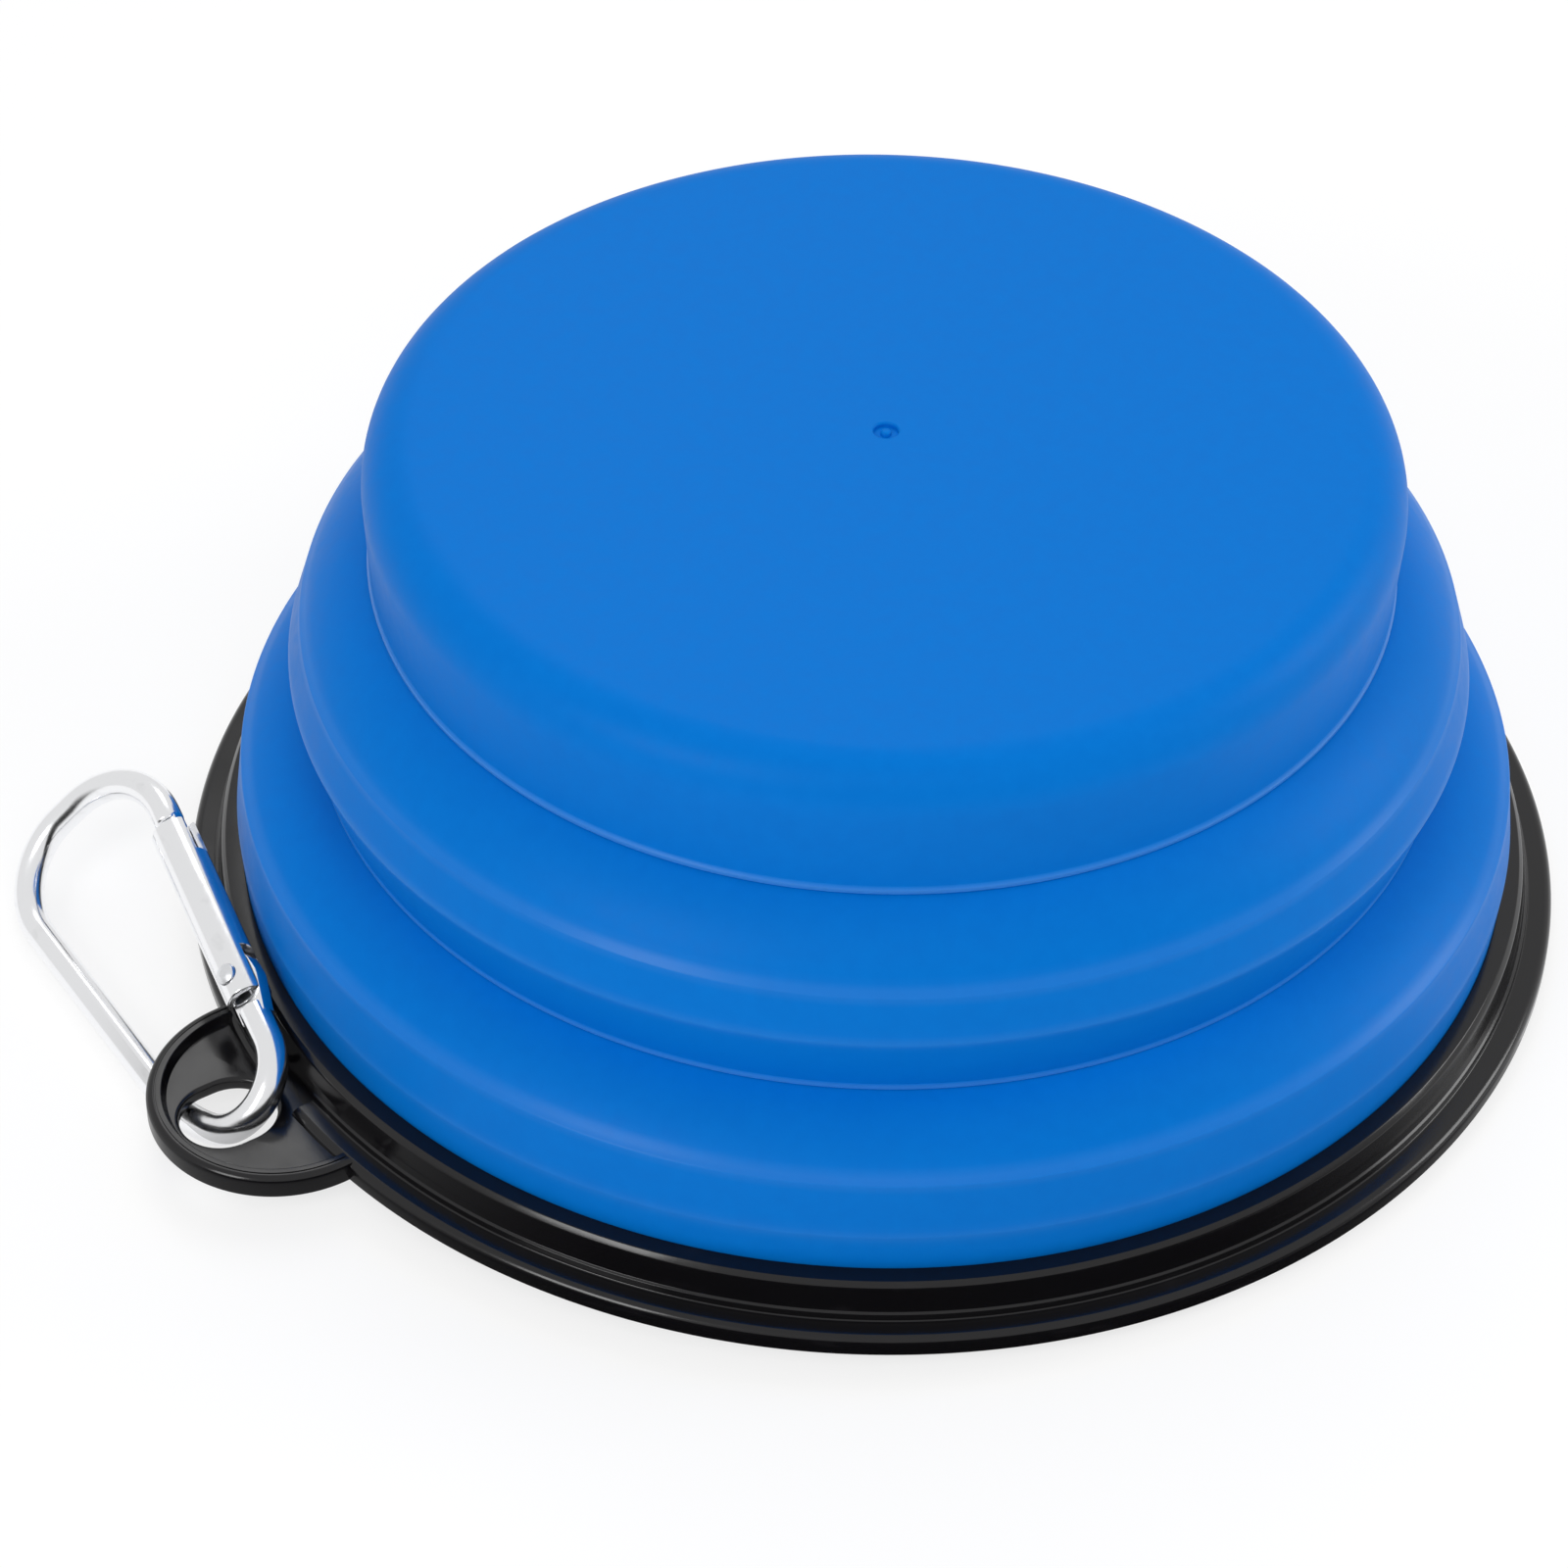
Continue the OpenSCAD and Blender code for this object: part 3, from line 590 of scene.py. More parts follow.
class BOWL_OT_base_cup(bpy.types.Operator):
    """Build the stiff cup around the base"""

    bl_idname = "bowl.base_cup"
    bl_label = "Base Cup"

    def execute(self, context):
        sizes = context.scene.bowl_shell
        top, crease_z = -RIM_Z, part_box("base_cup")[0][2] - RIM_Z
        edge_z = top - sizes.base_round
        flat = sizes.base_radius - sizes.base_round
        inner_round = sizes.base_round - sizes.wall
        lean = (sizes.base_radius - sizes.upper_crease) / (edge_z - crease_z)
        lip = ridge(sizes.upper_crease, crease_z, lean, sizes.upper_ridge)
        outer = mark_outline(sizes.mark, top)
        outer += divided([outer[-1], (flat, top)], WALL_STEP)[1:-1]
        outer += arc((flat, edge_z), sizes.base_round, 90, 0, steps=16)
        outer += rounded([outer[-1] + (0,)] + lip)[1:]
        outer = divided(outer, WALL_STEP)
        inner = [(sizes.upper_crease - sizes.wall, crease_z)]
        inner += arc((flat, top - sizes.floor - inner_round), inner_round, 0, 90, steps=10)
        inner = divided(inner + [(0, top - sizes.floor)], WALL_STEP)
        bm = spun(raised(outer + inner), sizes.segments)
        cup = finished("shell_cup", bm, "cup_body", ["base_cup"], silicone_material(sizes))
        highlighted(cup, [ridge_highlight(crease_z, sizes.upper_ridge)])
        return {"FINISHED"}


class BOWL_OT_middle_shell(bpy.types.Operator):
    """Build the middle band and the upper fold, which rolls over as the base is pushed in"""

    bl_idname = "bowl.middle_shell"
    bl_label = "Middle Band and Upper Fold"

    def execute(self, context):
        sizes = context.scene.bowl_shell
        crease_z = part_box("upper_fold")[1][2] - RIM_Z
        edge_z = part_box("upper_fold")[0][2] - RIM_Z
        foot_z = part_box("middle_band")[0][2] - RIM_Z
        lean = (sizes.upper_edge - sizes.lower_crease) / (edge_z - foot_z)
        corners = [(sizes.upper_edge, edge_z, sizes.fold_round)]
        corners += ridge(sizes.lower_crease, foot_z, lean, sizes.lower_ridge)
        outer, inner = folded_lines(sizes, (sizes.upper_crease, crease_z),
                                    (sizes.upper_shoulder, sizes.upper_shoulder_height), corners)
        bm = spun(raised(outer + inner), sizes.segments)
        band = finished("shell_middle", bm, None, ["middle_band", "upper_fold"],
                        silicone_material(sizes))
        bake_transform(band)
        highlighted(band, [ridge_highlight(foot_z, sizes.lower_ridge)]
               + fold_highlights(sizes, sizes.upper_shoulder_height, edge_z))
        return {"FINISHED"}


class BOWL_OT_outer_shell(bpy.types.Operator):
    """Build the outer band and the lower fold, which rolls over as the middle band is pushed in"""

    bl_idname = "bowl.outer_shell"
    bl_label = "Outer Band and Lower Fold"

    def execute(self, context):
        sizes = context.scene.bowl_shell
        rim = context.scene.bowl_rim
        crease_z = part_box("lower_fold")[1][2] - RIM_Z
        edge_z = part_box("lower_fold")[0][2] - RIM_Z
        corners = [(sizes.lower_edge, edge_z, sizes.fold_round), (sizes.collar, rim.collar_height, 0)]
        outer, inner = folded_lines(sizes, (sizes.lower_crease, crease_z),
                                    (sizes.lower_shoulder, sizes.lower_shoulder_height), corners)
        bead_top = rim.lip + sizes.bead_height
        bead_r = sizes.collar + sizes.bead
        bead = [(sizes.collar, bead_top), (bead_r, bead_top), (bead_r, rim.lip),
                (sizes.collar - sizes.wall, rim.lip)]
        bm = spun(raised(outer + bead + inner), sizes.segments)
        band = finished("shell_outer", bm, None, ["outer_band", "lower_fold"],
                        silicone_material(sizes))
        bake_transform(band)
        highlighted(band, fold_highlights(sizes, sizes.lower_shoulder_height, edge_z))
        return {"FINISHED"}


# Rim ring

def ring_outline(rim, shell):
    """Section of the ring, from its inner lip round its foot, flange and collar to the bead's groove"""
    bead_top = rim.lip + shell.bead_height
    inside = shell.collar - shell.wall - rim.lip_reach
    mouth = shell.collar + rim.bead_gap
    groove = mouth + shell.bead
    flange = rim.radius - rim.flange_width
    foot = flange - rim.step_lean
    top = rim.flange_height + rim.step_rise
    rise = rim.collar_height - top
    lean = foot - rim.collar_radius
    fine, hollow, swell = 0.15 * MM, 0.9 * MM, 0.8 * MM
    corners = [(inside, 0, 0), (rim.radius, 0, rim.foot_round),
               (rim.radius, rim.flange_height, rim.flange_round),
               (flange, rim.flange_height, rim.collar_round),
               (flange - 0.25 * rim.step_lean, top - rim.step_ease, fine), (foot, top, fine),
               (foot - 0.22 * lean, top + 0.2 * rise, hollow), (foot - 0.55 * lean, top + 0.8 * rise, swell),
               (rim.collar_radius, rim.collar_height - rim.collar_fall, rim.collar_round),
               (mouth, rim.collar_height, 0)]
    return rounded(corners) + [(mouth, bead_top), (groove, bead_top), (groove, rim.lip), (inside, rim.lip)]


def border_outline(rim):
    """Section of the tab's border, from its hidden root out, up, over a fine line and down to the plate"""
    edge, top = rim.tab_radius, rim.tab_edge
    line, line_end = edge - rim.line_place, edge - rim.line_place - rim.line_width
    line_lean = 0.2 * rim.line_width
    line_z = top - rim.line_depth
    inner = edge - rim.border
    slope_end = inner - rim.border_slope
    root = slope_end - 0.5 * rim.border_slope
    lower_round, upper_round, inner_round, sink = 0.3 * MM, 0.9 * MM, 0.2 * MM, 0.2 * MM
    sunk = rim.tab_plate - sink
    outline = rounded([(root, LIFT, 0), (edge, LIFT, lower_round), (edge, top, upper_round), (line, top, 0)])
    outline += [(line - line_lean, line_z), (line_end + line_lean, line_z), (line_end, top)]
    outline += rounded([(line_end, top, 0), (inner, top, inner_round), (slope_end, sunk, 0),
                        (root, sunk, 0)])[1:]
    return outline


def disc(radius, low, high, segments):
    """Round disc about the Z axis"""
    return spun(raised([(0, low), (radius, low), (radius, high), (0, high)]), segments)


def hole_cutter(rim, tip):
    """Oval cutter that flares at the plate's two faces, so that the hole's edges come out rounded"""
    ease = rim.hole_round
    half_span = (rim.hole_length - rim.hole_width) / 2
    centre = tip + rim.hole_bar + rim.hole_length / 2
    swell = arc((ease, 0), ease, 180, 90, steps=6)
    levels = [(ease, -OVERRUN)] + [(out, ease - up) for out, up in reversed(swell)]
    levels += [(out, rim.tab_plate - ease + up) for out, up in swell]
    levels += [(ease, rim.tab_edge + OVERRUN)]
    bm = bmesh.new()
    loops = []
    for out, z in levels:
        radius = rim.hole_width / 2 + out
        oval = arc((centre + half_span, 0), radius, -90, 90, steps=40)
        oval += arc((centre - half_span, 0), radius, 90, 270, steps=40)
        verts = [bm.verts.new((x, y, z + RIM_Z)) for x, y in oval]
        loops.append([bm.edges.new(pair) for pair in zip(verts, verts[1:] + verts[:1])])
    for lower, upper in zip(loops, loops[1:]):
        bmesh.ops.bridge_loops(bm, edges=lower + upper)
    bmesh.ops.contextual_create(bm, geom=loops[0])
    bmesh.ops.contextual_create(bm, geom=loops[-1])
    bmesh.ops.remove_doubles(bm, verts=bm.verts, dist=WELD)
    bmesh.ops.recalc_face_normals(bm, faces=bm.faces)
    return linked("hole_cutter", bm)


def notch_cutter(rim):
    """Cutter for the gap in the flange next to the hole, a hair over the tab's plate"""
    half, hair = rim.notch / 2, 0.02 * MM
    outside = -rim.radius - OVERRUN
    inside = -rim.radius + rim.flange_width + rim.notch_bite
    corners = [(outside, -half, 0), (inside, -half, rim.notch_round), (inside, half, rim.notch_round),
               (outside, half, 0)]
    low, high = rim.tab_plate + hair, rim.collar_height - rim.notch_drop
    return linked("notch_cutter", extruded(rounded(corners), low + RIM_Z, high + RIM_Z))


class BOWL_OT_rim(bpy.types.Operator):
    """Build the rim ring with its round hang tab, one moulding"""

    bl_idname = "bowl.rim"
    bl_label = "Rim Ring and Tab"

    def execute(self, context):
        rim, shell = context.scene.bowl_rim, context.scene.bowl_shell
        tip = -rim.radius - rim.tab_reach
        ring = linked("ring", spun(raised(ring_outline(rim, shell)), shell.segments))
        plate_inset, border_root, plate_root = 2 * MM, 0.7 * MM, 0.2 * MM
        border = spun(raised(border_outline(rim)), segments=192)
        plate = disc(rim.tab_radius - plate_inset, 2 * LIFT, rim.tab_plate, segments=96)
        border_inside = rim.radius - border_root
        plate_inside = rim.radius - rim.flange_width - plate_root
        bm = combined(ring, [("UNION", self.outside_ring("plate", plate, plate_inside, rim, shell)),
                             ("UNION", self.outside_ring("border", border, border_inside, rim, shell)),
                             ("DIFFERENCE", hole_cutter(rim, tip)), ("DIFFERENCE", notch_cutter(rim))])
        finished("rim_moulding", bm, "rim_body", ["rim_ring"], black_plastic_material(rim))
        return {"FINISHED"}

    def outside_ring(self, name, bm, inside, rim, shell):
        """Part of the tab set in its place, without what lies within a radius of the bowl's axis"""
        bm.transform(Matrix.Translation((rim.tab_radius - rim.radius - rim.tab_reach, 0, 0)))
        core = disc(inside, -OVERRUN, rim.collar_height + OVERRUN, shell.segments)
        cut = combined(linked(name, bm), [("DIFFERENCE", linked(f"{name}_core", core))])
        return linked(f"{name}_cut", cut)


# Carabiner

class ClipPath:
    """The carabiner's centre-line in its own plane: X across from the spine, Y along it"""

    def __init__(self, clip):
        hook = Vector((clip.hook_bend, clip.hook_start))
        turn = Vector((cos(clip.hook_angle), sin(clip.hook_angle)))
        tip_centre = hook - (clip.hook_bend - clip.tip_bend) * turn
        spine_top = Vector((0, clip.spine_length))
        gate_top = Vector((clip.head_width, clip.spine_length - clip.head_fall))
        to_top = gate_top - tip_centre
        angle = atan2(to_top.y, to_top.x) - acos(clip.tip_bend / to_top.length)
        self.tip_end = tip_centre + clip.tip_bend * Vector((cos(angle), sin(angle)))
        self.along = (gate_top - self.tip_end).normalized()
        self.lean = atan2(self.along.x, self.along.y)
        self.rivet = self.tip_end + self.along * (clip.rivet_height - self.tip_end.y) / self.along.y
        across = (gate_top - spine_top).normalized()
        self.gate_turn = pi - acos(-across.dot(-self.along))
        self.spine_turn = pi - acos(Vector((0, -1)).dot(across))
        gate_cut = clip.gate_bend * tan(self.gate_turn / 2)
        self.spine_cut = clip.spine_bend * tan(self.spine_turn / 2)
        self.head_run = (gate_top - spine_top).length - gate_cut - self.spine_cut
        self.shoulder = (gate_top - self.rivet).length - gate_cut - clip.nose_lead
        self.nose = self.shoulder - clip.nose_gap
        self.pin = self.nose - 0.26 * clip.gate
        self.hook_depth = 0.95 * clip.gate
        self.rivet_seat = 0.83 * clip.gate / 2
        self.place = (Matrix.Translation((-clip.spine_place, 0, RIM_Z - clip.spine_drop))
                      @ Matrix.Rotation(-clip.tilt, 4, "Y"))
        self.gate_place = (self.place @ Matrix.Translation((self.rivet.x, self.rivet.y, 0))
                           @ Matrix.Rotation(-self.lean, 4, "Z"))


def run(bm, edges, heading, distance):
    """Carry a ring of edges straight on, and give the new ring"""
    edges = of_type(bmesh.ops.extrude_edge_only(bm, edges=edges)["geom"], bmesh.types.BMEdge)
    bmesh.ops.translate(bm, verts=ring_verts(edges), vec=Vector((cos(heading), sin(heading), 0)) * distance)
    return edges


def bend(bm, edges, centre, angle, steps):
    """Carry a ring of edges round a bend, and give the new ring"""
    geom = bmesh.ops.spin(bm, geom=edges, cent=(centre.x, centre.y, 0), axis=(0, 0, 1), dvec=(0, 0, 0),
                          angle=angle, steps=steps, use_duplicate=False)["geom_last"]
    return of_type(geom, bmesh.types.BMEdge)


def ring_verts(edges):
    """Vertices of a ring of edges"""
    return list(dict.fromkeys(v for e in edges for v in e.verts))


def ring_centre(edges):
    """Middle of a ring of edges"""
    verts = ring_verts(edges)
    return sum((v.co for v in verts), Vector()) / len(verts)


def walk(bm, edges, heading, leg, stretch=4):
    """One straight or bent leg of the rod: (length,) or (radius, turn), bent in steps of stretch degrees"""
    if len(leg) == 1:
        return run(bm, edges, heading, leg[0]), heading
    radius, turn = leg
    left = Vector((-sin(heading), cos(heading), 0))
    centre = ring_centre(edges) + left * radius
    return bend(bm, edges, centre, turn, max(6, ceil(degrees(turn) / stretch))), heading + turn


def capped_end(bm, edges, heading, rod_r, ease, steps=5):
    """Close a ring of edges with a rounded shoulder"""
    turns = [radians(90 * i / steps) for i in range(steps + 1)]
    for before, after in zip(turns, turns[1:]):
        edges = run(bm, edges, heading, ease * (sin(after) - sin(before)))
        shrink = (rod_r - ease * (1 - cos(after))) / (rod_r - ease * (1 - cos(before)))
        bmesh.ops.scale(bm, verts=ring_verts(edges), vec=(shrink,) * 3,
                        space=Matrix.Translation(-ring_centre(edges)))
    bmesh.ops.contextual_create(bm, geom=edges)


class BOWL_OT_clip_frame(bpy.types.Operator):
    """Build the carabiner's bent rod with its flattened ends"""

    bl_idname = "bowl.clip_frame"
    bl_label = "Carabiner Rod"

    def execute(self, context):
        clip = context.scene.bowl_clip
        path = ClipPath(clip)
        self.rod(clip, path)
        self.flattened("clip_nose", self.nose_outline(clip, path), clip, path)
        self.flattened("clip_eye", self.eye_outline(clip), clip, path)
        return {"FINISHED"}

    def rod(self, clip, path):
        """The bent rod, from over the gate round to below its tail"""
        rod_r = clip.rod / 2
        heading = pi / 2 - path.lean
        start = path.rivet + path.along * (path.shoulder + clip.shoulder_round)
        bm = bmesh.new()
        ring = bmesh.ops.create_circle(bm, segments=64, radius=rod_r)["verts"]
        turned = Matrix.Rotation(heading, 4, "Z") @ Matrix.Rotation(pi / 2, 4, "Y")
        bmesh.ops.transform(bm, verts=ring, matrix=Matrix.Translation((start.x, start.y, 0)) @ turned)
        first = list(bm.edges)
        swing = hypot(clip.gate / 2, clip.gate_tail) + clip.tail_gap
        tail = (path.rivet - path.tip_end).length - swing - clip.end_round
        tip_turn = 2 * pi - path.gate_turn - path.spine_turn - clip.hook_angle
        legs = [(clip.nose_lead - clip.shoulder_round,), (clip.gate_bend, path.gate_turn), (path.head_run,),
                (clip.spine_bend, path.spine_turn), (clip.spine_length - path.spine_cut - clip.hook_start,),
                (clip.hook_bend, clip.hook_angle), (clip.tip_bend, tip_turn), (tail,)]
        edges = first
        for leg in legs:
            edges, heading = walk(bm, edges, heading, leg)
        capped_end(bm, edges, heading, rod_r, clip.end_round)
        capped_end(bm, first, heading + pi, rod_r, clip.shoulder_round)
        bmesh.ops.recalc_face_normals(bm, faces=bm.faces)
        bm.transform(path.place)
        finished("clip_rod", bm, "clip_body", ["carabiner_frame"], aluminium(clip))

    def nose_outline(self, clip, path):
        """Outline of the hooked end that closes round the latch pin, with its root in the rod"""
        half, corner, fine = 0.85 * clip.rod / 2, 0.3 * clip.rod / 2, 0.15 * MM
        slot = clip.pin / 2 + clip.pin_gap
        root_reach = 1 * MM
        low, root = path.shoulder - path.hook_depth, path.shoulder + root_reach
        outline = rounded([(half, root, 0), (half, low, corner), (-half, low, corner),
                           (-half, path.pin - slot, fine), (0, path.pin - slot, 0)])
        outline += arc((0, path.pin), slot, -90, 90, steps=12)[1:]
        outline += rounded([(0, path.pin + slot, 0), (-half, path.pin + slot, fine), (-half, root, 0)])[1:]
        return outline

    def eye_outline(self, clip):
        """Outline of the end that the rivet goes through, in shares of the gate's radius"""
        shares = [(-0.66, -2.2, 0), (-0.66, 0.1, 0.5), (-0.4, 0.58, 0.25), (0.35, 0.68, 0.1),
                  (0.55, 1.02, 0.2), (0.93, 0.66, 0.6), (1.07, -0.4, 1.2), (0.66, -2.2, 0)]
        gate_r = clip.gate / 2
        return rounded([(x * gate_r, y * gate_r, r * gate_r) for x, y, r in shares])

    def flattened(self, name, outline, clip, path):
        """A flattened end, as a plate with bevelled edges"""
        bm = extruded(outline, -clip.tang / 2, clip.tang / 2)
        rims = [e for e in bm.edges if abs(e.verts[0].co.z - e.verts[1].co.z) < WELD]
        bmesh.ops.bevel(bm, geom=rims, offset=clip.tang_bevel, segments=3, profile=0.5, affect="EDGES",
                        material=-1, clamp_overlap=True)
        bm.transform(path.gate_place)
        finished(name, bm, "clip_body", ["carabiner_frame"], aluminium(clip))


class BOWL_OT_clip_gate(bpy.types.Operator):
    """Build the carabiner's gate with its slots, its rivet and its latch pin"""

    bl_idname = "bowl.clip_gate"
    bl_label = "Carabiner Gate"

    def execute(self, context):
        clip = context.scene.bowl_clip
        path = ClipPath(clip)
        self.gate(clip, path)
        self.rivet(clip, path)
        self.pin(clip, path)
        return {"FINISHED"}

    def gate(self, clip, path):
        """The drilled rod, slotted at both ends, with a seat for each head of the rivet"""
        radius, bore = clip.gate / 2, clip.gate_bore / 2
        floor = 0.64 * path.nose
        floor_round, mouth_round, end_round = 0.4 * MM, 0.2 * MM, 0.3 * MM
        outline = rounded([(0, floor, 0), (bore, floor, floor_round), (bore, -clip.gate_tail, mouth_round),
                           (radius, -clip.gate_tail, end_round), (radius, path.nose, end_round),
                           (0, path.nose, 0)])
        tube = linked("tube", spun(outline, segments=128, axis=(0, 1, 0)))
        cuts = [self.slot("tail_slot", clip, -clip.gate_tail - OVERRUN, 1.1 * clip.gate_tail),
                self.slot("nose_slot", clip, path.nose - path.hook_depth, path.nose + OVERRUN)]
        seat_gap = 0.05 * MM
        seat_r = clip.rivet_head / 2 + seat_gap
        for side in (-1, 1):
            seat = [(0, path.rivet_seat), (seat_r, path.rivet_seat), (seat_r, clip.gate), (0, clip.gate)]
            cuts.append(linked(f"seat_{side}", spun(seat, segments=48, axis=(0, 0, side))))
        bm = combined(tube, [("DIFFERENCE", cut) for cut in cuts])
        bm.transform(path.gate_place)
        finished("clip_gate", bm, "gate_body", ["carabiner_gate"], aluminium(clip), sharp=35)

    def slot(self, name, clip, low, high):
        """A milled slot right through the gate"""
        half, wide = clip.tang / 2 + clip.tang_gap, clip.gate
        outline = [(-wide, low), (wide, low), (wide, high), (-wide, high)]
        return linked(name, extruded(outline, -half, half))

    def rivet(self, clip, path):
        """The rivet with a pressed, domed head at each end"""
        radius, shank, head_r = clip.gate / 2, clip.rivet / 2, clip.rivet_head / 2
        top = path.rivet_seat + 0.34 * radius
        dimple, dimple_depth = 0.3 * MM, 0.01 * MM
        lower_round, side_round, dome_round = 0.08 * MM, 0.3 * MM, 0.5 * MM
        head = rounded([(shank, path.rivet_seat, 0), (head_r, path.rivet_seat, lower_round),
                        (head_r, top - 0.1 * radius, side_round), (2 * dimple, top, dome_round),
                        (dimple, top, 0), (0, top - dimple_depth, 0)])
        half = [(shank, 0)] + head
        bm = spun(half + [(r, -z) for r, z in reversed(half)][:-1], segments=64)
        bm.transform(path.gate_place)
        pressed = metal_material("pressed_aluminium", clip.pressed, low=0.22, high=0.36)
        finished("clip_rivet", bm, "clip_body", ["gate_rivet"], pressed)

    def pin(self, clip, path):
        """The thin pin that the rod's hooked nose closes around, its ends just inside the gate"""
        radius, ease, inset = clip.pin / 2, 0.15 * MM, 0.12 * MM
        end = clip.gate / 2 - inset
        outline = rounded([(0, end, 0), (radius, end, ease), (radius, -end, ease), (0, -end, 0)])
        bm = spun(outline, segments=32)
        bm.transform(path.gate_place @ Matrix.Translation((0, path.pin, 0)))
        finished("clip_pin", bm, "gate_body", ["latch_pin"], drawn_steel(clip))


class BOWL_OT_carried(bpy.types.Operator):
    """Finish the spring and the plunger, which keep their CAD shapes inside the gate"""

    bl_idname = "bowl.carried"
    bl_label = "Spring and Plunger"

    def execute(self, context):
        steel = drawn_steel(context.scene.bowl_clip)
        for name in ("gate_spring", "spring_plunger"):
            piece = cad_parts[name]
            if len(piece.material_slots) == 0:
                piece.data.materials.append(steel)
            for material_slot in piece.material_slots:
                material_slot.material = steel
        return {"FINISHED"}


# Stage

def looking_rays(nodes):
    """Value that is 1 for the rays of the camera, of reflections and of clear surfaces"""
    rays = nodes.new("ShaderNodeLightPath").outputs
    value = rays["Is Camera Ray"]
    for kind in ("Is Glossy Ray", "Is Transmission Ray"):
        value = shader_node(nodes, "Math", value, rays[kind], operation="MAXIMUM").outputs["Value"]
    return value


def mixed(nodes, factor, first, second):
    """Mix two shaders by a value"""
    return shader_node(nodes, "MixShader", factor, first, second).outputs["Shader"]


def floor_material(stage):
    """Pale floor, partly glowing to the camera and to reflections, and clear from below"""
    material, nodes, shader = shader_material("pale_floor")
    fed(shader, Base_Color=stage.floor_color, Roughness=0.9, Specular_IOR_Level=0)
    glow = shader_node(nodes, "Emission", Strength=1.05).outputs["Emission"]
    share = shader_node(nodes, "Math", looking_rays(nodes), stage.floor_glow, operation="MULTIPLY")
    lit = mixed(nodes, share.outputs["Value"], shader.outputs["BSDF"], glow)
    below = nodes.new("ShaderNodeNewGeometry").outputs["Backfacing"]
    clear = nodes.new("ShaderNodeBsdfTransparent").outputs["BSDF"]
    fed(nodes["Material Output"], Surface=mixed(nodes, below, lit, clear))
    return material


def card_material(stage):
    """Dull black that fades out towards the dark card's two sides, and is gone a little before them"""
    margin = radians(2)
    material, nodes, shader = shader_material("dark_card")
    place = nodes.new("ShaderNodeTexCoord").outputs["Object"]
    heading = shader_node(nodes, "VectorMath", place, operation="NORMALIZE").outputs["Vector"]
    ahead = (cos(stage.card_heading), sin(stage.card_heading), 0)
    facing = shader_node(nodes, "VectorMath", heading, ahead, operation="DOT_PRODUCT").outputs["Value"]
    fade = nodes.new("ShaderNodeMapRange")
    fade.interpolation_type = "SMOOTHSTEP"
    fed(fade, Value=facing, From_Min=cos(stage.card_spread - margin), From_Max=cos(stage.card_spread / 2))
    fed(shader, Base_Color=(0.02, 0.02, 0.02, 1), Roughness=1, Specular_IOR_Level=0,
        Alpha=fade.outputs["Result"])
    return material


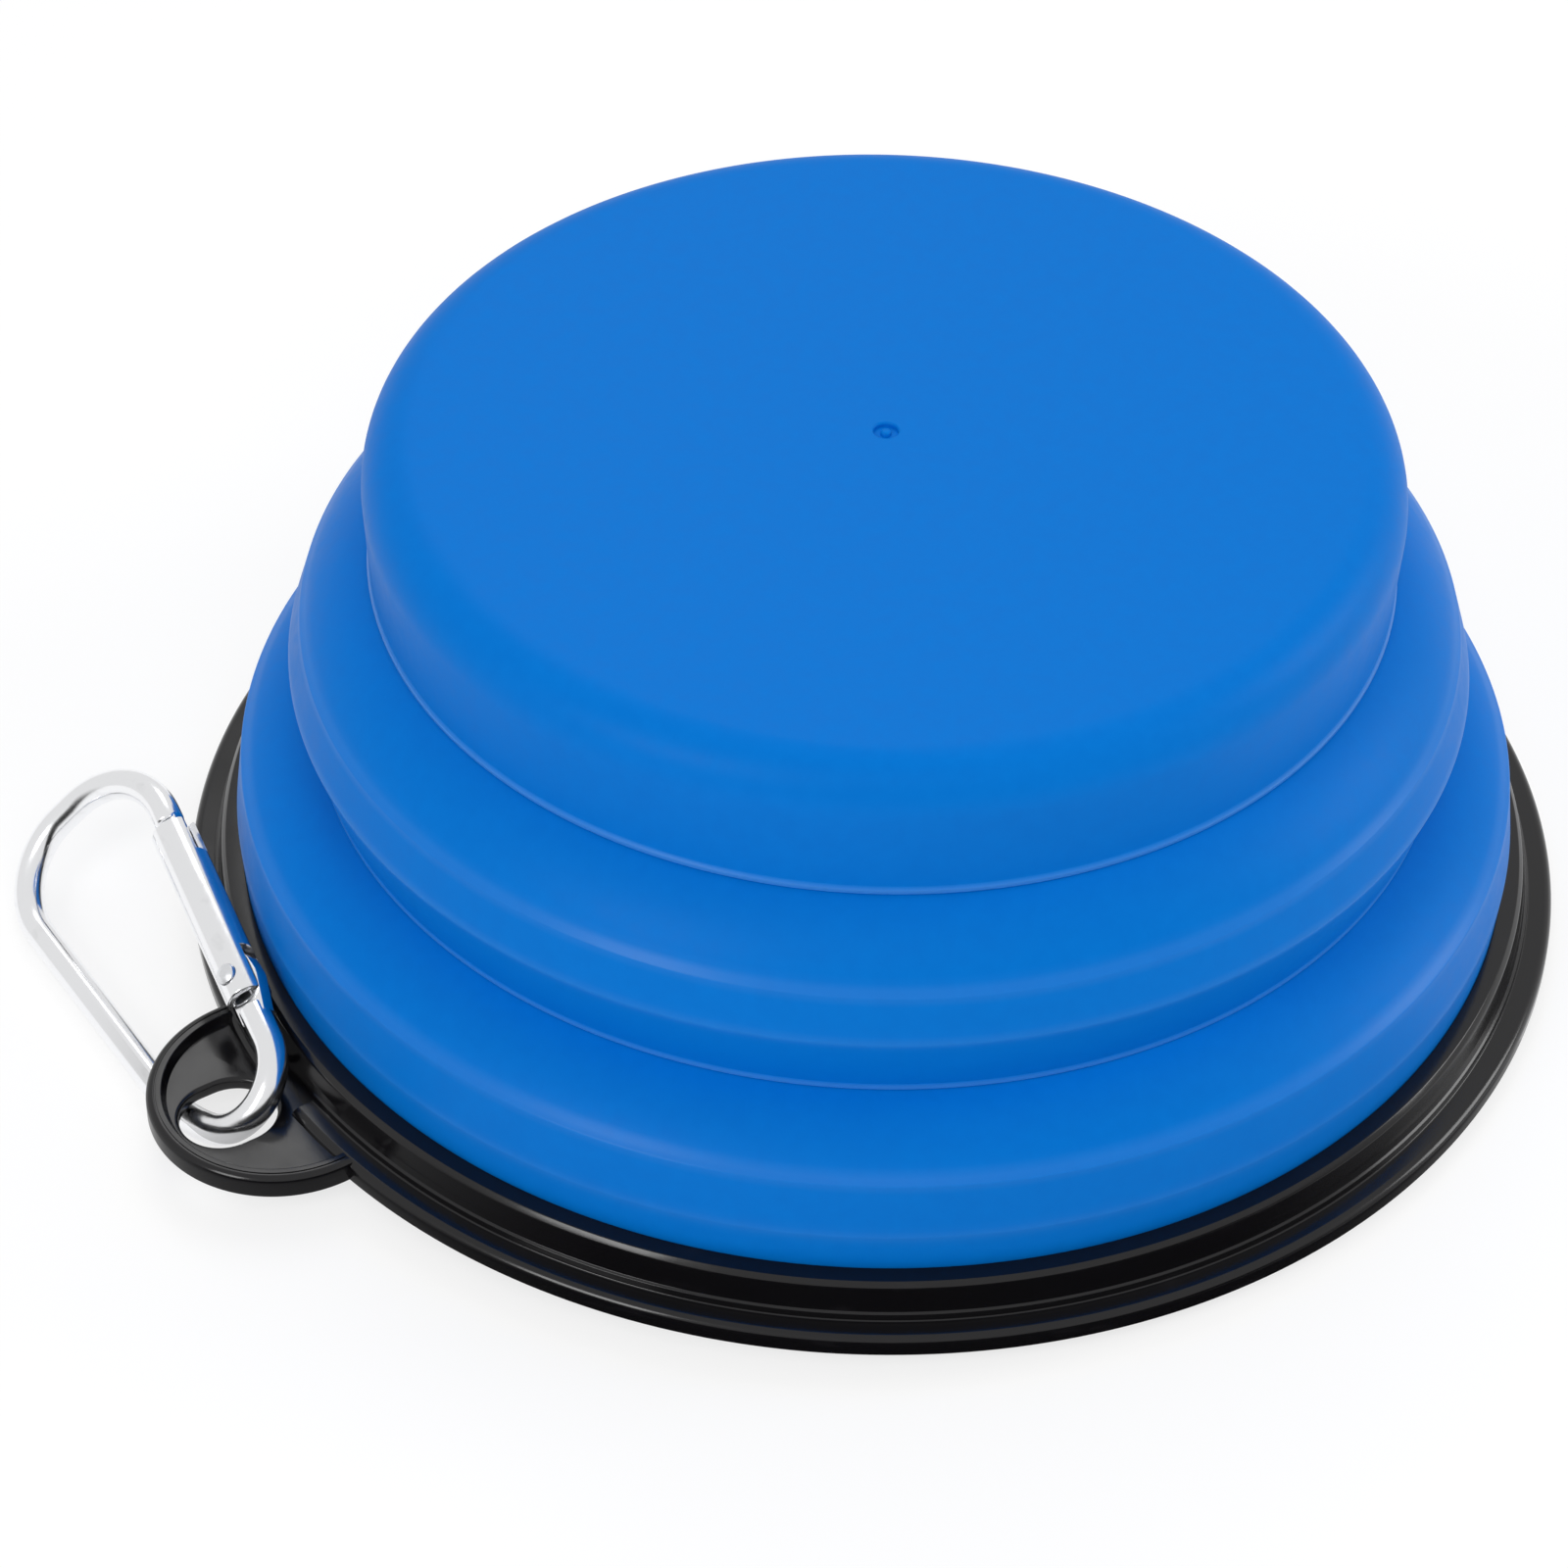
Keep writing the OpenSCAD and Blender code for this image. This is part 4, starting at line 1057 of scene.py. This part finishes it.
class BOWL_OT_stage(bpy.types.Operator):
    """Build the floor, the lights and the camera"""

    bl_idname = "bowl.stage"
    bl_label = "Stage"

    def execute(self, context):
        stage = context.scene.bowl_stage
        self.floor(context, stage)
        self.dark_card(stage)
        self.world(context, stage)
        self.lights()
        self.camera(context, stage)
        context.scene.view_settings.view_transform = "Standard"
        return {"FINISHED"}

    def floor(self, context, stage):
        """Floor that touches the carabiner's spine and the rim's far edge"""
        clip, rim = context.scene.bowl_clip, context.scene.bowl_rim
        far = Vector((rim.radius - rim.foot_round, 0, RIM_Z))
        near = Vector((-clip.spine_place, 0, RIM_Z - clip.spine_drop - clip.rod / 2))
        slope = atan2(far.z - near.z, far.x - near.x)
        air = Vector((0, 0, 0.02 * MM))
        bm = bmesh.new()
        bmesh.ops.create_grid(bm, x_segments=1, y_segments=1, size=stage.floor_size / 2)
        bm.transform(Matrix.Translation(near - air) @ Matrix.Rotation(-slope, 4, "Y"))
        floor = linked("floor", bm)
        floor.data.materials.append(floor_material(stage))

    def dark_card(self, stage):
        """Dark card before the bowl, lying and turned up at its end, seen in reflections alone"""
        heading, spread, drop = degrees(stage.card_heading), degrees(stage.card_spread), 1 * MM
        bm = bmesh.new()
        middle = bm.verts.new((0, 0, 0))
        end = [bm.verts.new((x, y, 0))
               for x, y in arc((0, 0), stage.card_reach, heading - spread, heading + spread, steps=16)]
        bm.faces.new([middle] + end)
        turned_up = bmesh.ops.extrude_edge_only(bm, edges=[bm.edges.get(pair) for pair in zip(end, end[1:])])
        bmesh.ops.translate(bm, verts=of_type(turned_up["geom"], bmesh.types.BMVert),
                            vec=(0, 0, stage.card_height))
        bm.transform(Matrix.Translation((0, 0, RIM_Z - drop)))
        card = linked("dark_card", bm)
        card.data.materials.append(card_material(stage))
        card.visible_camera = False
        card.visible_diffuse = False
        card.visible_transmission = False
        card.visible_shadow = False
        card.visible_volume_scatter = False

    def world(self, context, stage):
        """Even fill light, white to the camera and to reflections"""
        world = bpy.data.worlds.new("studio")
        context.scene.world = world
        world.use_nodes = True
        nodes = world.node_tree.nodes
        nodes.clear()
        fill = shader_node(nodes, "Background", Strength=stage.world_strength).outputs["Background"]
        white = nodes.new("ShaderNodeBackground").outputs["Background"]
        shader_node(nodes, "OutputWorld", Surface=mixed(nodes, looking_rays(nodes), fill, white))

    def lights(self):
        """Large soft boxes around the bowl, each with or without a reflection"""
        target = Vector((0, 0, -0.04))
        boxes = (("back_box", (0.3, 0.5, 0.8), 0.8, 3.2, False),
                 ("left_box", (-0.75, -0.2, 0.45), 0.3, 2.0, True),
                 ("right_box", (0.75, -0.35, 0.3), 0.35, 2.0, True),
                 ("sheen_box", (0.23, 0.57, 0.66), 0.25, 0.4, True),
                 ("camera_box", (-0.3, -0.6, 0.7), 0.5, 2.6, False))
        for name, place, size, power, mirrored in boxes:
            light = bpy.data.lights.new(name, "AREA")
            light.shape = "SQUARE"
            light.size = size
            light.energy = power
            lamp = bpy.data.objects.new(name, light)
            bpy.context.scene.collection.objects.link(lamp)
            lamp.location = place
            lamp.visible_glossy = mirrored
            lamp.rotation_euler = (target - Vector(place)).to_track_quat("-Z", "Y").to_euler()

    def camera(self, context, stage):
        """The photograph's view"""
        camera = bpy.data.cameras.new("camera")
        camera.lens = stage.lens
        camera.sensor_width = 36
        camera.clip_start = 0.01
        eye = bpy.data.objects.new("camera", camera)
        context.scene.collection.objects.link(eye)
        turn = (Matrix.Rotation(stage.azimuth - pi / 2, 4, "Z")
                @ Matrix.Rotation(pi / 2 - stage.elevation, 4, "X") @ Matrix.Rotation(stage.roll, 4, "Z"))
        eye.matrix_world = Matrix.Translation(stage.camera_place) @ turn
        context.scene.camera = eye


class BOWL_PT_panel(bpy.types.Panel):
    """Lists the bowl's pieces and settings in the sidebar"""

    bl_idname = "BOWL_PT_panel"
    bl_label = "Collapsible Bowl"
    bl_space_type = "VIEW_3D"
    bl_region_type = "UI"
    bl_category = "Bowl"

    def draw(self, context):
        for operator in PIECES:
            self.layout.operator(operator.bl_idname)
        for name in SETTINGS:
            group = getattr(context.scene, name)
            for key in group.__annotations__:
                self.layout.prop(group, key)


PIECES = (BOWL_OT_base_cup, BOWL_OT_middle_shell, BOWL_OT_outer_shell, BOWL_OT_rim, BOWL_OT_clip_frame,
          BOWL_OT_clip_gate, BOWL_OT_carried, BOWL_OT_stage)
SETTINGS = {"bowl_shell": ShellSettings, "bowl_rim": RimSettings, "bowl_clip": ClipSettings,
            "bowl_stage": StageSettings}


def register():
    for cls in (*SETTINGS.values(), *PIECES, BOWL_PT_panel):
        bpy.utils.register_class(cls)
    for name, cls in SETTINGS.items():
        setattr(bpy.types.Scene, name, PointerProperty(type=cls))


def unregister():
    for name in SETTINGS:
        delattr(bpy.types.Scene, name)
    for cls in reversed((*SETTINGS.values(), *PIECES, BOWL_PT_panel)):
        bpy.utils.unregister_class(cls)


def main():
    """Build every piece and the stage"""
    register()
    bpy.ops.bowl.base_cup()
    bpy.ops.bowl.middle_shell()
    bpy.ops.bowl.outer_shell()
    bpy.ops.bowl.rim()
    bpy.ops.bowl.clip_frame()
    bpy.ops.bowl.clip_gate()
    bpy.ops.bowl.carried()
    bpy.ops.bowl.stage()


if __name__ == "__main__":
    main()
